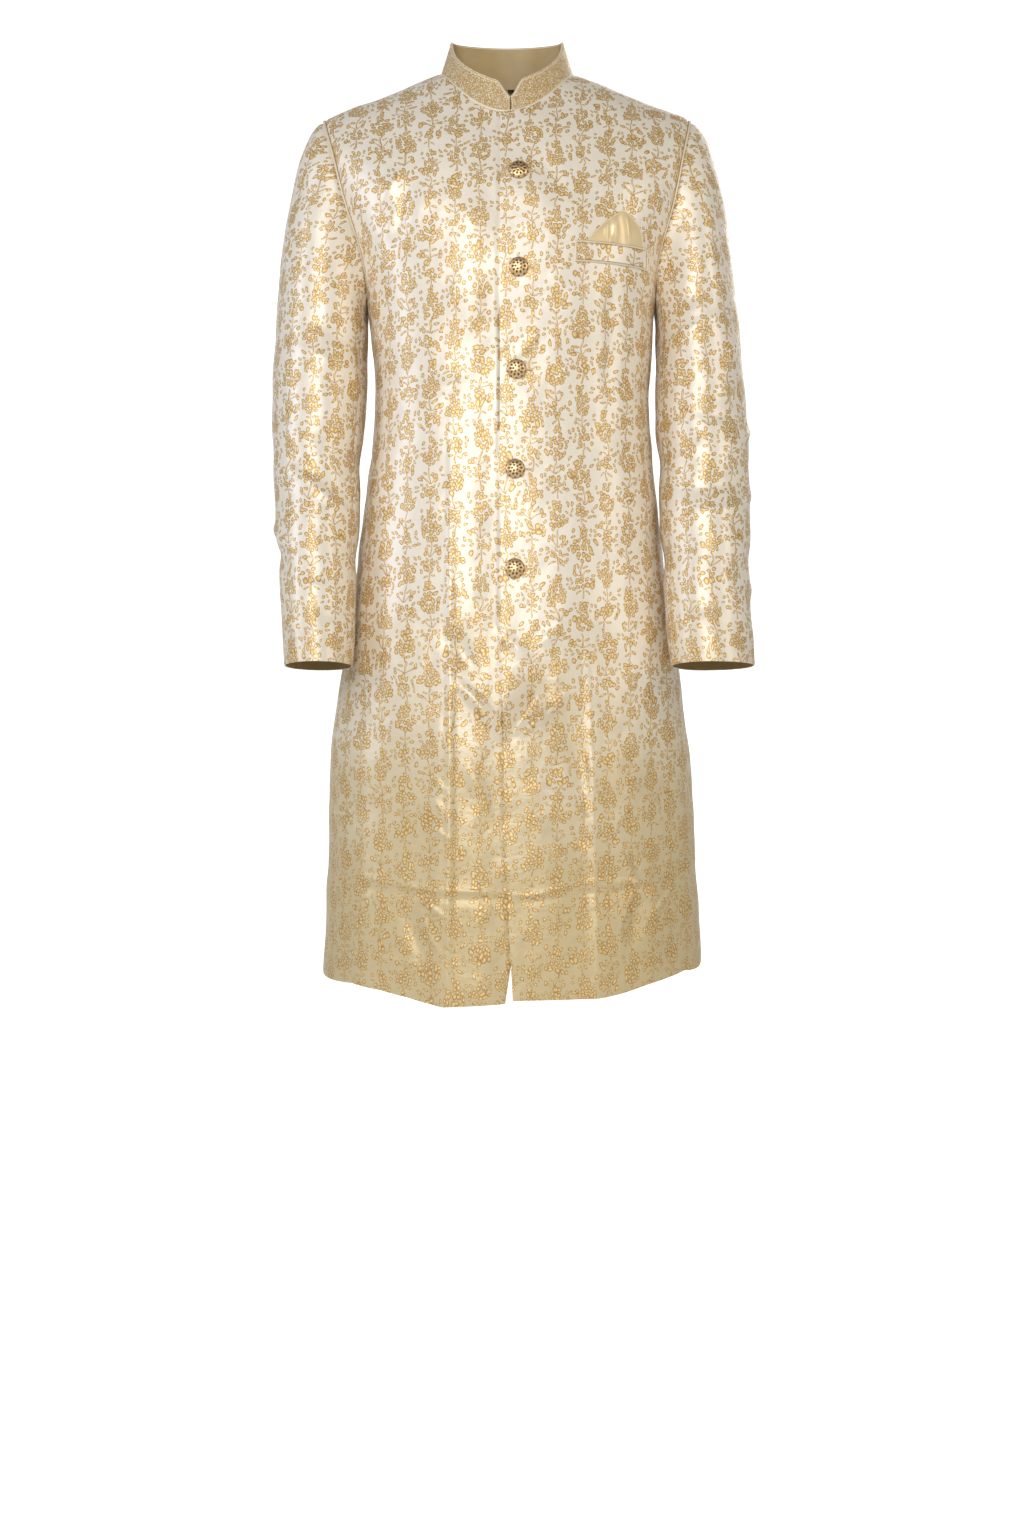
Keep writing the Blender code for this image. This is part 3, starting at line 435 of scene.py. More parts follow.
def unit(vectors):
    """Vectors of length one."""
    return vectors / np.maximum(np.linalg.norm(vectors, axis=-1, keepdims=True), 1e-12)


def shoulder_line(x):
    """Height of the shoulder seam: a slope times a hyperbola that rounds it over the neck."""
    return SHOULDER_SLOPE * (math.hypot(NECK_HALF, NECK_ROUND) - np.hypot(x, NECK_ROUND))


def share_at(side, x, z):
    """How far round a point lies: the arcsine of its place across, raised to half the roundness."""
    across = side * (x - centre_at(z)) / half_width_at(z)
    turned = np.minimum(np.abs(across), 1.0) ** (roundness_at(z) / 2)
    return np.sign(across) * np.arcsin(turned) * 2 / math.pi


def across_at(side, share, z):
    """The inverse of share_at: a point's place across the body."""
    turned = np.sin(np.abs(share) * math.pi / 2) ** (2 / roundness_at(z))
    return centre_at(z) + side * np.sign(share) * half_width_at(z) * turned


def skirt_folds(face, x, z):
    """Push of the hanging folds: bell curves across, each growing downwards by a soft step."""
    push = np.zeros(np.broadcast(x, z).shape)
    for kind, across, depth, breadth, top, full in SKIRT_FOLDS:
        if (kind == "front") == (face == FRONT):
            growth = ease((top - z) / (top - full))
            middle = across * (1 + FOLD_FLARE * growth)
            push = push + depth * growth * np.exp(-((x - middle) / breadth) ** 2)
    return push


def body_depth(face, x, z):
    """Depth before or behind the side seams: an oval, drawn in over the chest by a quarter
    circle up to the shoulder seam, plus the hanging folds."""
    depth = front_depth_at(z) if face == FRONT else back_depth_at(z)
    power = roundness_at(z)
    across = np.minimum(np.abs(x - centre_at(z)) / half_width_at(z), 1.0)
    oval = (1 - across ** power) ** (1 / power)
    line = shoulder_line(x)
    below = np.clip((line - z) / (line - CHEST_LEVEL), 0.0, 1.0)
    rise = np.sqrt(1 - (1 - below) ** 2)
    return depth * oval * rise + skirt_folds(face, x, z) * ease(oval * 3)


def lap_sink(x, z):
    """How far the right front sinks behind the left one: a soft step across the lap."""
    start = over_edge_at(z) - LAP_EASE
    return (BODY_CLOTH + LAP_STEP) * ease((x - start) / (LAP_EASE - 0.006))


def slit_swing(share, z):
    """A panel's swing away from the side seam: a soft step down the slit, times share^4."""
    fall = ease((SLIT_TOP - z) / (SLIT_TOP - SLIT_BOTTOM))
    return SLIT_SPREAD * fall * np.clip(share, 0.0, 1.0) ** 4


def body_point(face, side, x, z, share):
    """A point of a panel's outer surface."""
    depth = body_depth(face, x, z) + SEAM_GAP / 2 + slit_swing(share, z)
    if face == FRONT and side == RIGHT:
        depth = depth - lap_sink(x, z)
    return np.stack([x, face * depth, z], axis=-1)


def hem_height(face, side, u):
    """Height of the hem from the inner edge (0) to the side (1): a cubic rise on the left front,
    a parabola with a sine dip on the right one, level behind."""
    if face == BACK:
        return BACK_HEM + 0.0 * u
    if side == LEFT:
        return LEFT_HEM_EDGE + LEFT_HEM_RISE * u ** 3
    dip = RIGHT_HEM_DIP * np.sin(math.pi * u) * (1 - u)
    return RIGHT_HEM_EDGE + RIGHT_HEM_RISE * u ** 2 - dip


def hem_lift(face, side, x):
    """How far the hem is cut up from hem_height: straight lines between the places of a table in
    front, an ease up to the side's corner behind."""
    places, lifts, behind = HEM_LIFTS[side]
    if face == BACK:
        return behind * ease((np.abs(x) - 0.10) / 0.12)
    return np.interp(np.abs(x), places, lifts)


def inner_edge(face, side):
    """A panel's edge from underarm level up the centre and round the neckline, as x and z: the
    neckline is a sine across against a squared cosine down."""
    if face == FRONT:
        edge = over_edge_at if side == LEFT else under_edge_at
        top = side * float(edge(-FRONT_NECK_DROP)) / NECK_HALF
        turn = np.linspace(math.asin(top), math.pi / 2, ARMHOLE_ROWS - FRONT_EDGE_ROWS + 1)
        under_lap = NECK_TUCK * np.minimum(turn, 0.0)
        neck_z = -FRONT_NECK_DROP * np.cos(np.maximum(turn, 0.0)) ** 2 + under_lap
        straight_z = np.linspace(UNDERARM, neck_z[0], FRONT_EDGE_ROWS + 1)[:-1]
        straight_x = edge(straight_z)
    else:
        turn = np.linspace(0.0, math.pi / 2, ARMHOLE_ROWS - BACK_EDGE_ROWS + 1)
        neck_z = BACK_NECK_RISE * np.cos(turn) ** 2
        straight_z = np.linspace(UNDERARM, neck_z[0], BACK_EDGE_ROWS + 1)[:-1]
        straight_x = centre_at(straight_z) + side * SEAM_GAP / 2
    neck_x = side * NECK_HALF * np.sin(turn)
    neck_x[0] = edge(neck_z[0]) if face == FRONT else side * SEAM_GAP / 2
    return np.concatenate([straight_x, neck_x]), np.concatenate([straight_z, neck_z])


def panel_columns(count):
    """Shares from 0 to 1, closer together towards both edges: a line mixed with a cosine."""
    t = np.linspace(0.0, 1.0, count + 1)
    return 0.7 * t + 0.3 * (1 - np.cos(math.pi * t)) / 2


def skirt_levels():
    """Shares from hem (0) to underarm (1), closest together near the packing crease: the running
    sum of one over a bell curve's height."""
    t = np.linspace(0.0, 1.0, 4001)
    density = 1 + 1.6 * np.exp(-((t - 0.16) / 0.12) ** 2)
    total = np.concatenate([[0.0], np.cumsum((density[1:] + density[:-1]) / 2)])
    return np.interp(np.linspace(0.0, 1.0, SKIRT_ROWS + 1), total / total[-1], t)


def panel_surface(face, side, columns):
    """Outer points of a front or back. Rows run from hem to shoulder and columns from centre to
    side; each row blends its two edges' shares round the body and their heights in a straight
    line, and body_point gives the depth."""
    u = panel_columns(columns)
    edge_x, edge_z = inner_edge(face, side)
    share_name = "front_share" if face == FRONT else "back_share"
    armhole_share = column(ARMHOLE, ARMHOLE_COLUMNS, share_name)
    steps = (1 - np.cos(np.linspace(0.0, math.pi, ARMHOLE_ROWS + 1))) / 2
    arm_z = UNDERARM + (SHOULDER_TIP - UNDERARM) * steps
    arm_share = armhole_share(arm_z)
    for _ in range(SETTLE_ROUNDS):
        arm_x = across_at(side, arm_share, arm_z)
        arm_z[-1] = shoulder_line(arm_x[-1])

    edge_share = share_at(side, edge_x, edge_z)
    share = edge_share[:, None] + (arm_share - edge_share)[:, None] * u
    edge_below = shoulder_line(edge_x) - edge_z
    arm_below = shoulder_line(arm_x) - arm_z
    below = edge_below[:, None] + (arm_below - edge_below)[:, None] * u
    z = edge_z[:, None] + (arm_z - edge_z)[:, None] * u
    for _ in range(SETTLE_ROUNDS):
        x = across_at(side, share, z)
        z = shoulder_line(x) - below
    upper = body_point(face, side, x, z, share)

    hem = hem_height(face, side, u)
    hem = hem + hem_lift(face, side, across_at(side, u, hem))
    tau = skirt_levels()[:-1, None]
    low_z = hem + (z[0] - hem) * tau
    if face == FRONT:
        edge = over_edge_at if side == LEFT else under_edge_at
        low_edge = edge(low_z[:, :1])
    else:
        low_edge = centre_at(low_z[:, :1]) + side * SEAM_GAP / 2
    low_share = share_at(side, low_edge, low_z[:, :1])
    low_share = low_share + (1 - low_share) * u
    lower = body_point(face, side, across_at(side, low_share, low_z), low_z, low_share)
    return np.concatenate([lower, upper])


def surface_normals(points, ring=False):
    """Unit normals of a grid of points: the cross product of its two slopes, turned outward."""
    along = np.gradient(points, axis=0)
    if ring:
        across = np.roll(points, -1, axis=1) - np.roll(points, 1, axis=1)
    else:
        across = np.gradient(points, axis=1)
    normals = unit(np.cross(along, across))
    middle = points.mean(axis=1, keepdims=True) if ring else np.array([0.0, 0.0, -0.4])
    outward = ((points - middle) * normals * (1, 1, 0)).sum()
    return normals if outward > 0 else -normals


def rounded(path):
    """A path with its corners cut three times, each cut a quarter of the way along a run."""
    path = np.array(path, dtype=float)
    for _ in range(3):
        first = 0.75 * path[:-1] + 0.25 * path[1:]
        second = 0.25 * path[:-1] + 0.75 * path[1:]
        middle = np.stack([first, second], axis=1).reshape(-1, path.shape[1])
        path = np.concatenate([path[:1], middle, path[-1:]])
    return path


def relief(across, up, creases, measure=1.0):
    """How far creases lift the cloth. Each is a bell curve of the distance from its line, with
    one breadth on each side of the line, that dies away at both ends by a power of a sine."""
    lift = np.zeros(across.shape)
    for height, above, below, line in creases:
        path = rounded(line) * (measure, 1.0)
        runs = np.diff(path, axis=0)
        lengths = np.hypot(runs[:, 0], runs[:, 1])
        starts = np.concatenate([[0.0], np.cumsum(lengths)])
        nearest = np.full(across.shape, np.inf)
        breadth = np.full(across.shape, above)
        place = np.zeros(across.shape)
        upward = np.sign(path[-1, 0] - path[0, 0]) or 1.0
        for run, length, start, corner in zip(runs, lengths, starts, path):
            dx = across * measure - corner[0]
            dz = up - corner[1]
            t = np.clip((dx * run[0] + dz * run[1]) / length ** 2, 0.0, 1.0)
            distance = np.hypot(dx - t * run[0], dz - t * run[1])
            closer = distance < nearest
            over = upward * (run[0] * dz - run[1] * dx) > 0
            nearest = np.where(closer, distance, nearest)
            breadth = np.where(closer, np.where(over, above, below), breadth)
            place = np.where(closer, (start + t * length) / starts[-1], place)
        ends = np.sin(math.pi * np.clip(place, 0.02, 0.98)) ** 0.6
        lift = lift + height * ends * np.exp(-(nearest / breadth) ** 2)
    return lift


def drift(across, up, size, seed):
    """A slow uneven wave from -1 to 1: five crossed sine waves, each turned by the golden angle."""
    total = np.zeros(np.broadcast(across, up).shape)
    for k in range(5):
        turn = seed + 2.399963 * k
        pace = 2 * math.pi / (size * (1 + 0.37 * k))
        total = total + np.sin(pace * (across * math.cos(turn) + up * math.sin(turn)) + 1.7 * seed * k)
    return total / 5


def make_mesh(name, verts, faces, materials, uv, slots=None, sharp=True):
    """A smooth-shaded mesh object at the origin, with one UV pair for each vertex. Its faces are
    one array of quads, and one of triangles where its ends close at a point."""
    mesh = bpy.data.meshes.new(name)
    mesh.from_pydata(verts.tolist(), [], [face for group in faces for face in group.tolist()])
    for material in materials:
        mesh.materials.append(material)
    corners = np.empty(len(mesh.loops), dtype=np.int32)
    mesh.loops.foreach_get("vertex_index", corners)
    layer = mesh.uv_layers.new(name="cloth")
    layer.data.foreach_set("uv", uv[corners].astype(np.float32).ravel())
    mesh.shade_smooth()
    if slots is not None:
        mesh.polygons.foreach_set("material_index", slots)
    if sharp:
        mesh.set_sharp_from_angle(angle=math.radians(SHARP_ANGLE))
    piece = bpy.data.objects.new(name, mesh)
    bpy.context.scene.collection.objects.link(piece)
    return piece


def grid_faces(rows, columns, ring=False):
    """Corner numbers of the quads of a grid, whose last column meets the first on a ring."""
    low = np.arange(rows - 1)[:, None] * columns
    high = low + columns
    here = np.arange(columns if ring else columns - 1)
    after = (here + 1) % columns
    return np.stack([low + here, low + after, high + after, high + here], -1).reshape(-1, 4)


def end_fans(rows, columns):
    """Triangles from a grid's first and last rings to the two points that follow the grid."""
    first = np.arange(columns)
    last = first + (rows - 1) * columns
    low = np.stack([np.roll(first, -1), first, 0 * first + rows * columns], -1)
    high = np.stack([last, np.roll(last, -1), 0 * last + rows * columns + 1], -1)
    return np.concatenate([low, high])


def rim_faces(edge, count):
    """Quads between one edge of the outer grid and the same edge of the inner one."""
    here, after = edge[:-1], edge[1:]
    return np.stack([here, here + count, after + count, after], -1)


def cloth_shell(name, outer, inner, uv, materials):
    """A closed shell: an outer grid, an inner grid of lining, and the rims that join them."""
    rows, columns = outer.shape[:2]
    count = rows * columns
    face = grid_faces(rows, columns)
    low = np.arange(columns)
    left = np.arange(rows) * columns
    edges = (low[::-1], low + (rows - 1) * columns, left, (left + columns - 1)[::-1])
    rim = np.concatenate([rim_faces(edge, count) for edge in edges])
    faces = np.concatenate([face, face[:, ::-1] + count, rim])
    slots = np.repeat([0, 1, 0], [len(face), len(face), len(rim)]).astype(np.int32)
    verts = np.concatenate([outer.reshape(-1, 3), inner.reshape(-1, 3)])
    fan = verts[face]
    turn = np.cross(fan[:, 1] - fan[:, 0], fan[:, 2] - fan[:, 0])
    out = (outer - inner).reshape(-1, 3)[face[:, 0]]
    if (turn * out).sum() < 0:
        faces = faces[:, ::-1]
    both = np.concatenate([uv.reshape(-1, 2), uv.reshape(-1, 2)])
    return make_mesh(name, verts, [faces], materials, both, slots)


def panel_uv(outer, side):
    """Cloth coordinates in metres: across is the level distance round from the middle line, and
    up is the height, then the length of the slope above the underarm."""
    steps = np.diff(outer, axis=1)
    across = np.concatenate([outer[:, :1, 0] * side, np.hypot(steps[..., 0], steps[..., 1])], axis=1)
    climb = np.diff(outer[SKIRT_ROWS:], axis=0)
    slope = np.hypot(climb[..., 1], climb[..., 2])
    up = np.concatenate([outer[:SKIRT_ROWS + 1, :, 2], slope])
    up[SKIRT_ROWS + 1:] = up[SKIRT_ROWS] + np.cumsum(slope, axis=0)
    return np.stack([side * np.cumsum(across, axis=1), up], axis=-1)


def edge_roll(distance, dip):
    """The dip of cloth towards a seam or a turned edge: a bell curve of the distance from it."""
    depth, breadth = dip
    return -depth * np.exp(-(distance / breadth) ** 2)


def run_along(points, axis):
    """Distance walked along a grid's rows (axis 0) or columns (axis 1) from its first point."""
    steps = np.linalg.norm(np.diff(points, axis=axis), axis=-1)
    return np.insert(np.cumsum(steps, axis=axis), 0, 0.0, axis=axis)


def make_panel(name, face, side, columns, materials):
    """One front or back: the panel's surface, lifted by its creases, with its lining behind."""
    outer = panel_surface(face, side, columns)
    normals = surface_normals(outer)
    normals[-1, :, 1] = 0.0
    normals[:SKIRT_ROWS + 1, -1, 1] = 0.0
    if face == BACK:
        normals[:SKIRT_ROWS + BACK_EDGE_ROWS + 1, 0, 0] = 0.0
    normals = unit(normals)
    uv = panel_uv(outer, side)

    x, z = outer[..., 0], outer[..., 2]
    creases = FRONT_CREASES if face == FRONT else BACK_CREASES
    lift = CREASE_BODY * relief(x, z, creases)
    for height, length, seed in BODY_WAVES:
        lift = lift + height * drift(x, z, length, seed + face)
    run = run_along(outer, 1)
    from_side = run[:, -1:] - run
    rise = run_along(outer, 0)
    from_top = rise[-1:] - rise
    lift = lift * ease(from_side / 0.012) * ease(from_top / 0.012)
    if face == BACK:
        lift = lift * ease(run / 0.008) + edge_roll(run, CENTRE_SEAM_DIP)
    else:
        lift = lift + edge_roll(run, FRONT_EDGE_DIP)
    if face == FRONT and side == RIGHT:
        lift = lift + edge_roll(x - over_edge_at(z) + 0.0004, LAP_DIP)
    lift = lift + edge_roll(from_side, SIDE_SEAM_DIP) + edge_roll(from_top, SHOULDER_SEAM_DIP)
    lift = lift + edge_roll(rise, HEM_DIP)
    outer = outer + lift[..., None] * normals
    return outer, cloth_shell(name, outer, outer - BODY_CLOTH * normals, uv, materials)


def armhole_loop(front, back):
    """The sleeve's first ring, just off the armhole edges, and the way it leaves each edge. It
    starts at the shoulder tip, runs down the front and comes back up behind."""
    top = front.shape[0] - 1
    edges = []
    leaves = []
    for panel in (front, back):
        edge = panel[SKIRT_ROWS:, -1]
        across = unit(edge - panel[SKIRT_ROWS:, -5])
        run = unit(np.gradient(edge, axis=0))
        leave = unit(across - (across * run).sum(axis=1, keepdims=True) * run)
        leave[0] = (0.0, 0.0, 1.0)
        edges.append(edge)
        leaves.append(leave)
    tip = (front[top, -1] + back[top, -1]) / 2
    tip_leave = unit(leaves[0][-1] + leaves[1][-1])
    under = (front[SKIRT_ROWS, -1] + back[SKIRT_ROWS, -1]) / 2
    points = np.concatenate([[tip], edges[0][-2:0:-1], [under], edges[1][1:-1]])
    leave = np.concatenate([[tip_leave], leaves[0][-2:0:-1], [leaves[0][0]], leaves[1][1:-1]])
    return (points + ARMHOLE_GAP * leave)[::2], leave[::2]


def sleeve_section(side, angle, z):
    """A point of a sleeve's level oval, whose angle runs from the outer side to the front."""
    prefix = "left" if side == LEFT else "right"
    inside = column(SLEEVES, SLEEVE_COLUMNS, prefix + "_in")(z)
    outside = column(SLEEVES, SLEEVE_COLUMNS, prefix + "_out")(z)
    forward = column(SLEEVES, SLEEVE_COLUMNS, "forward")(z)
    half_depth = column(SLEEVES, SLEEVE_COLUMNS, "half_depth")(z)
    sink = np.zeros(np.broadcast(angle, z).shape)
    for height, slant, depth, breadth, turned in SLEEVE_FOLDS:
        facing = math.pi / 2 if turned == "front" else math.pi
        reach = np.clip(np.cos(angle - facing), 0.0, 1.0) ** 0.7
        sink = sink + depth * reach * np.exp(-((z - height - slant * np.cos(angle)) / breadth) ** 2)
    x = side * ((inside + outside) / 2 + ((outside - inside) / 2 - sink) * np.cos(angle))
    y = -forward - (half_depth - sink) * np.sin(angle)
    return np.stack([x, y, z + 0.0 * x], axis=-1)


def sleeve_surface(side, loop):
    """Rings of a sleeve and their angles: cubic curves from the armhole to the arm, then level
    sections."""
    count = len(loop)
    half = count // 2
    steps = np.linalg.norm(np.roll(loop, -1, axis=0) - loop, axis=1)
    front_way = np.concatenate([[0.0], np.cumsum(steps[:half])])
    back_way = np.concatenate([[0.0], np.cumsum(steps[half:])])
    angle = np.empty(count)
    angle[:half] = math.pi * front_way[:half] / front_way[-1]
    angle[half:] = math.pi + math.pi * back_way[:-1] / back_way[-1]

    head_end = sleeve_section(side, angle, np.full(count, SLEEVE_HEAD_END))
    reach = np.linalg.norm(head_end - loop, axis=1)[:, None]
    middle = loop.mean(axis=0)
    radial = unit((loop - middle) * (0, 1, 1))
    start = unit(np.array([side * 1.0, 0.0, -HEAD_DROP]) + HEAD_SPREAD * radial)
    below = sleeve_section(side, angle, np.full(count, SLEEVE_HEAD_END - 0.02))
    end = unit(below - head_end)
    t = np.linspace(0.0, 1.0, HEAD_RINGS + 1)[:, None, None]
    head = (1 + 2 * t) * (1 - t) ** 2 * loop + t * t * (3 - 2 * t) * head_end
    head = head + HEAD_START_PULL * reach * t * (1 - t) ** 2 * start
    head = head + HEAD_END_PULL * reach * t * t * (t - 1) * end
    cuff = (CUFF_FRONT + CUFF_BACK) / 2 + (CUFF_FRONT - CUFF_BACK) / 2 * np.sin(angle)
    t = np.linspace(0.0, 1.0, ARM_RINGS + 1)[1:, None]
    arm = sleeve_section(side, angle + 0.0 * t, SLEEVE_HEAD_END + (cuff - SLEEVE_HEAD_END) * t)
    return np.concatenate([head, arm]), angle


def make_sleeve(name, side, front, back, materials):
    """A sleeve's under and top pieces: its rings, lifted by the creases, cut at the forearm and
    elbow seams, with its lining inside."""
    loop, leave = armhole_loop(front, back)
    outer, angle = sleeve_surface(side, loop)
    normals = surface_normals(outer, ring=True)
    over = np.maximum((normals[0] * leave).sum(axis=1, keepdims=True), 0.0)
    normals[0] = unit(normals[0] - over * leave)

    creases = RIGHT_SLEEVE_CREASES if side == RIGHT else LEFT_SLEEVE_CREASES
    degrees = np.broadcast_to(np.degrees(angle), outer.shape[:2])
    z = outer[..., 2]
    lift = relief(degrees, z, creases, METRES_PER_DEGREE)
    lift = lift + relief(degrees - 360.0, z, creases, METRES_PER_DEGREE)
    height, length, seed = SLEEVE_WAVE
    wave = height * drift(outer[..., 0] + outer[..., 1], z, length, seed + side)
    lift = CREASE_SLEEVE * lift + wave
    rise = run_along(outer, 0)
    to_cuff = rise[-1:] - rise
    lift = lift * ease(rise / 0.02) + edge_roll(rise, SLEEVE_HEAD_DIP) + edge_roll(to_cuff, HEM_DIP)

    girth = np.linalg.norm(np.roll(outer, -1, axis=1) - outer, axis=-1)
    around = np.concatenate([np.zeros((len(outer), 1)), np.cumsum(girth, axis=1)], axis=1)
    whole = around[:, -1:]
    for seam in (FOREARM_SEAM, ELBOW_SEAM):
        away = np.abs(around[:, :-1] - around[:, seam][:, None])
        away = np.minimum(away, whole - away)
        lift = lift + edge_roll(away, SLEEVE_SEAM_DIP)
    outer = outer + lift[..., None] * normals

    # the head's rings take the pattern's places of the first level ring, so that it isn't sheared
    settled = np.maximum(np.arange(len(outer)), HEAD_RINGS)
    around, whole = around[settled], whole[settled]
    count = len(loop)
    tangent = unit(np.roll(outer, -1, axis=1) - np.roll(outer, 1, axis=1))
    front_middle = around[:, count // 4][:, None]
    pieces = []
    cuts = (("under", FOREARM_SEAM, ELBOW_SEAM), ("top", ELBOW_SEAM, FOREARM_SEAM + count))
    for ending, first, last in cuts:
        places = np.arange(first, last + 1)
        columns = places % count
        turns = (places >= count) * whole
        past_outer = whole if ending == "top" else 0.0
        across = side * (front_middle - around[:, columns] - turns + past_outer)
        up = outer[-1:, columns, 2] + to_cuff[:, columns]
        strip = outer[:, columns]
        strip[:, 0] += tangent[:, columns[0]] * SEAM_GAP / 2
        strip[:, -1] -= tangent[:, columns[-1]] * SEAM_GAP / 2
        inner = strip - SLEEVE_CLOTH * normals[:, columns]
        uv = np.stack([across, up], axis=-1)
        pieces.append(cloth_shell(f"{name}_{ending}_cloth", strip, inner, uv, materials))
    return pieces


def tube(name, path, radius, facing, material, closed=False, segments=10):
    """A cord along a path: circles square to it, whose first direction is the facing vector made
    square to the path. Open ends close with a small rounded cap."""
    path = np.asarray(path, dtype=float)
    facing = np.broadcast_to(np.asarray(facing, dtype=float), path.shape)
    radii = np.full(len(path), radius)
    if closed:
        along = unit(np.roll(path, -1, axis=0) - np.roll(path, 1, axis=0))
    else:
        along = unit(np.gradient(path, axis=0))
        reach = np.array(CAP_REACHES)[:, None]
        start = path[0] - along[0] * radius * reach
        end = path[-1] + along[-1] * radius * reach[::-1]
        path = np.concatenate([start, path, end])
        along = np.pad(along, ((3, 3), (0, 0)), mode="edge")
        facing = np.pad(facing, ((3, 3), (0, 0)), mode="edge")
        cap = np.array(CAP_WIDTHS) * radius
        radii = np.concatenate([cap, radii, cap[::-1]])
    out = unit(facing - (facing * along).sum(axis=1, keepdims=True) * along)
    aside = np.cross(along, out)
    turn = np.linspace(0.0, 2 * math.pi, segments, endpoint=False)
    ring = np.cos(turn)[:, None] * out[:, None] + np.sin(turn)[:, None] * aside[:, None]
    points = path[:, None] + radii[:, None, None] * ring
    length = np.concatenate([[0.0], np.cumsum(np.linalg.norm(np.diff(path, axis=0), axis=1))])
    uv = np.stack(np.broadcast_arrays(turn * radius, length[:, None]), axis=-1)
    rows, columns = points.shape[:2]
    faces = grid_faces(rows, columns, ring=True)[:, ::-1]
    if closed:
        last = (rows - 1) * columns + np.arange(columns)
        after = np.roll(last, -1)
        seam = np.stack([last, last % columns, after % columns, after], -1)
        return make_mesh(name, points.reshape(-1, 3), [faces, seam], [material], uv.reshape(-1, 2))
    verts = np.concatenate([points.reshape(-1, 3), path[:1], path[-1:]])
    fans = end_fans(rows, columns)[:, (1, 0, 2)]
    both = np.concatenate([uv.reshape(-1, 2), uv[0, :1], uv[-1, :1]])
    return make_mesh(name, verts, [faces, fans], [material], both, sharp=False)


def collar_half(side):
    """Base and full-height top edge of half the collar, from the front end to the centre back."""
    start = (side * COLLAR_MEET + COLLAR_SLIT / 2) / NECK_HALF
    front_turn = start + (math.pi / 2 - start) * np.linspace(0.0, 1.0, 97) ** 1.5
    back_turn = np.linspace(math.pi / 2, 0.0, 73)[1:]
    lifted = NECK_HALF - COLLAR_LIFT * 0.6
    front_x = side * lifted * np.sin(front_turn)
    front_z = -(FRONT_NECK_DROP - COLLAR_LIFT) * np.cos(front_turn) ** 2
    front_y = -body_depth(FRONT, front_x, front_z)
    back_x = side * lifted * np.sin(back_turn)
    back_z = (BACK_NECK_RISE + COLLAR_LIFT) * np.cos(back_turn) ** 2
    back_y = body_depth(BACK, back_x, back_z)
    base = np.stack([np.concatenate([front_x, back_x]), np.concatenate([front_y, back_y]),
                     np.concatenate([front_z, back_z])], axis=-1)

    climb = COLLAR_SIDE_LEVEL - COLLAR_FRONT_LEVEL
    quarter = np.clip(front_turn, 0.0, None) * 2 / math.pi
    top_z = COLLAR_FRONT_LEVEL + climb * quarter ** COLLAR_RISE_POWER
    top_back_z = COLLAR_SIDE_LEVEL + (COLLAR_BACK_LEVEL - COLLAR_SIDE_LEVEL) * np.cos(back_turn)
    top_x = COLLAR_TOP_HALF * np.sin(np.concatenate([front_turn, back_turn]))
    near_end = ease(1 - (front_turn - start) * NECK_HALF / COLLAR_END_ROUND)
    upright = np.abs(front_x) * np.sign(front_turn)
    top_x[:len(front_turn)] += near_end * (upright - top_x[:len(front_turn)])
    top_y = np.concatenate([-COLLAR_TOP_FRONT * np.cos(front_turn),
                            COLLAR_TOP_BACK * np.cos(back_turn)])
    top = np.stack([side * top_x, top_y, np.concatenate([top_z, top_back_z])], axis=-1)

    along = (np.concatenate([front_turn, math.pi - back_turn]) - start) * NECK_HALF
    rounding = np.sin(np.clip(along / COLLAR_END_ROUND, 0.0, 1.0) * math.pi / 2) ** COLLAR_END_POWER
    share = COLLAR_END_SHARE + (1 - COLLAR_END_SHARE) * rounding
    return base, base + (top - base) * share[:, None]


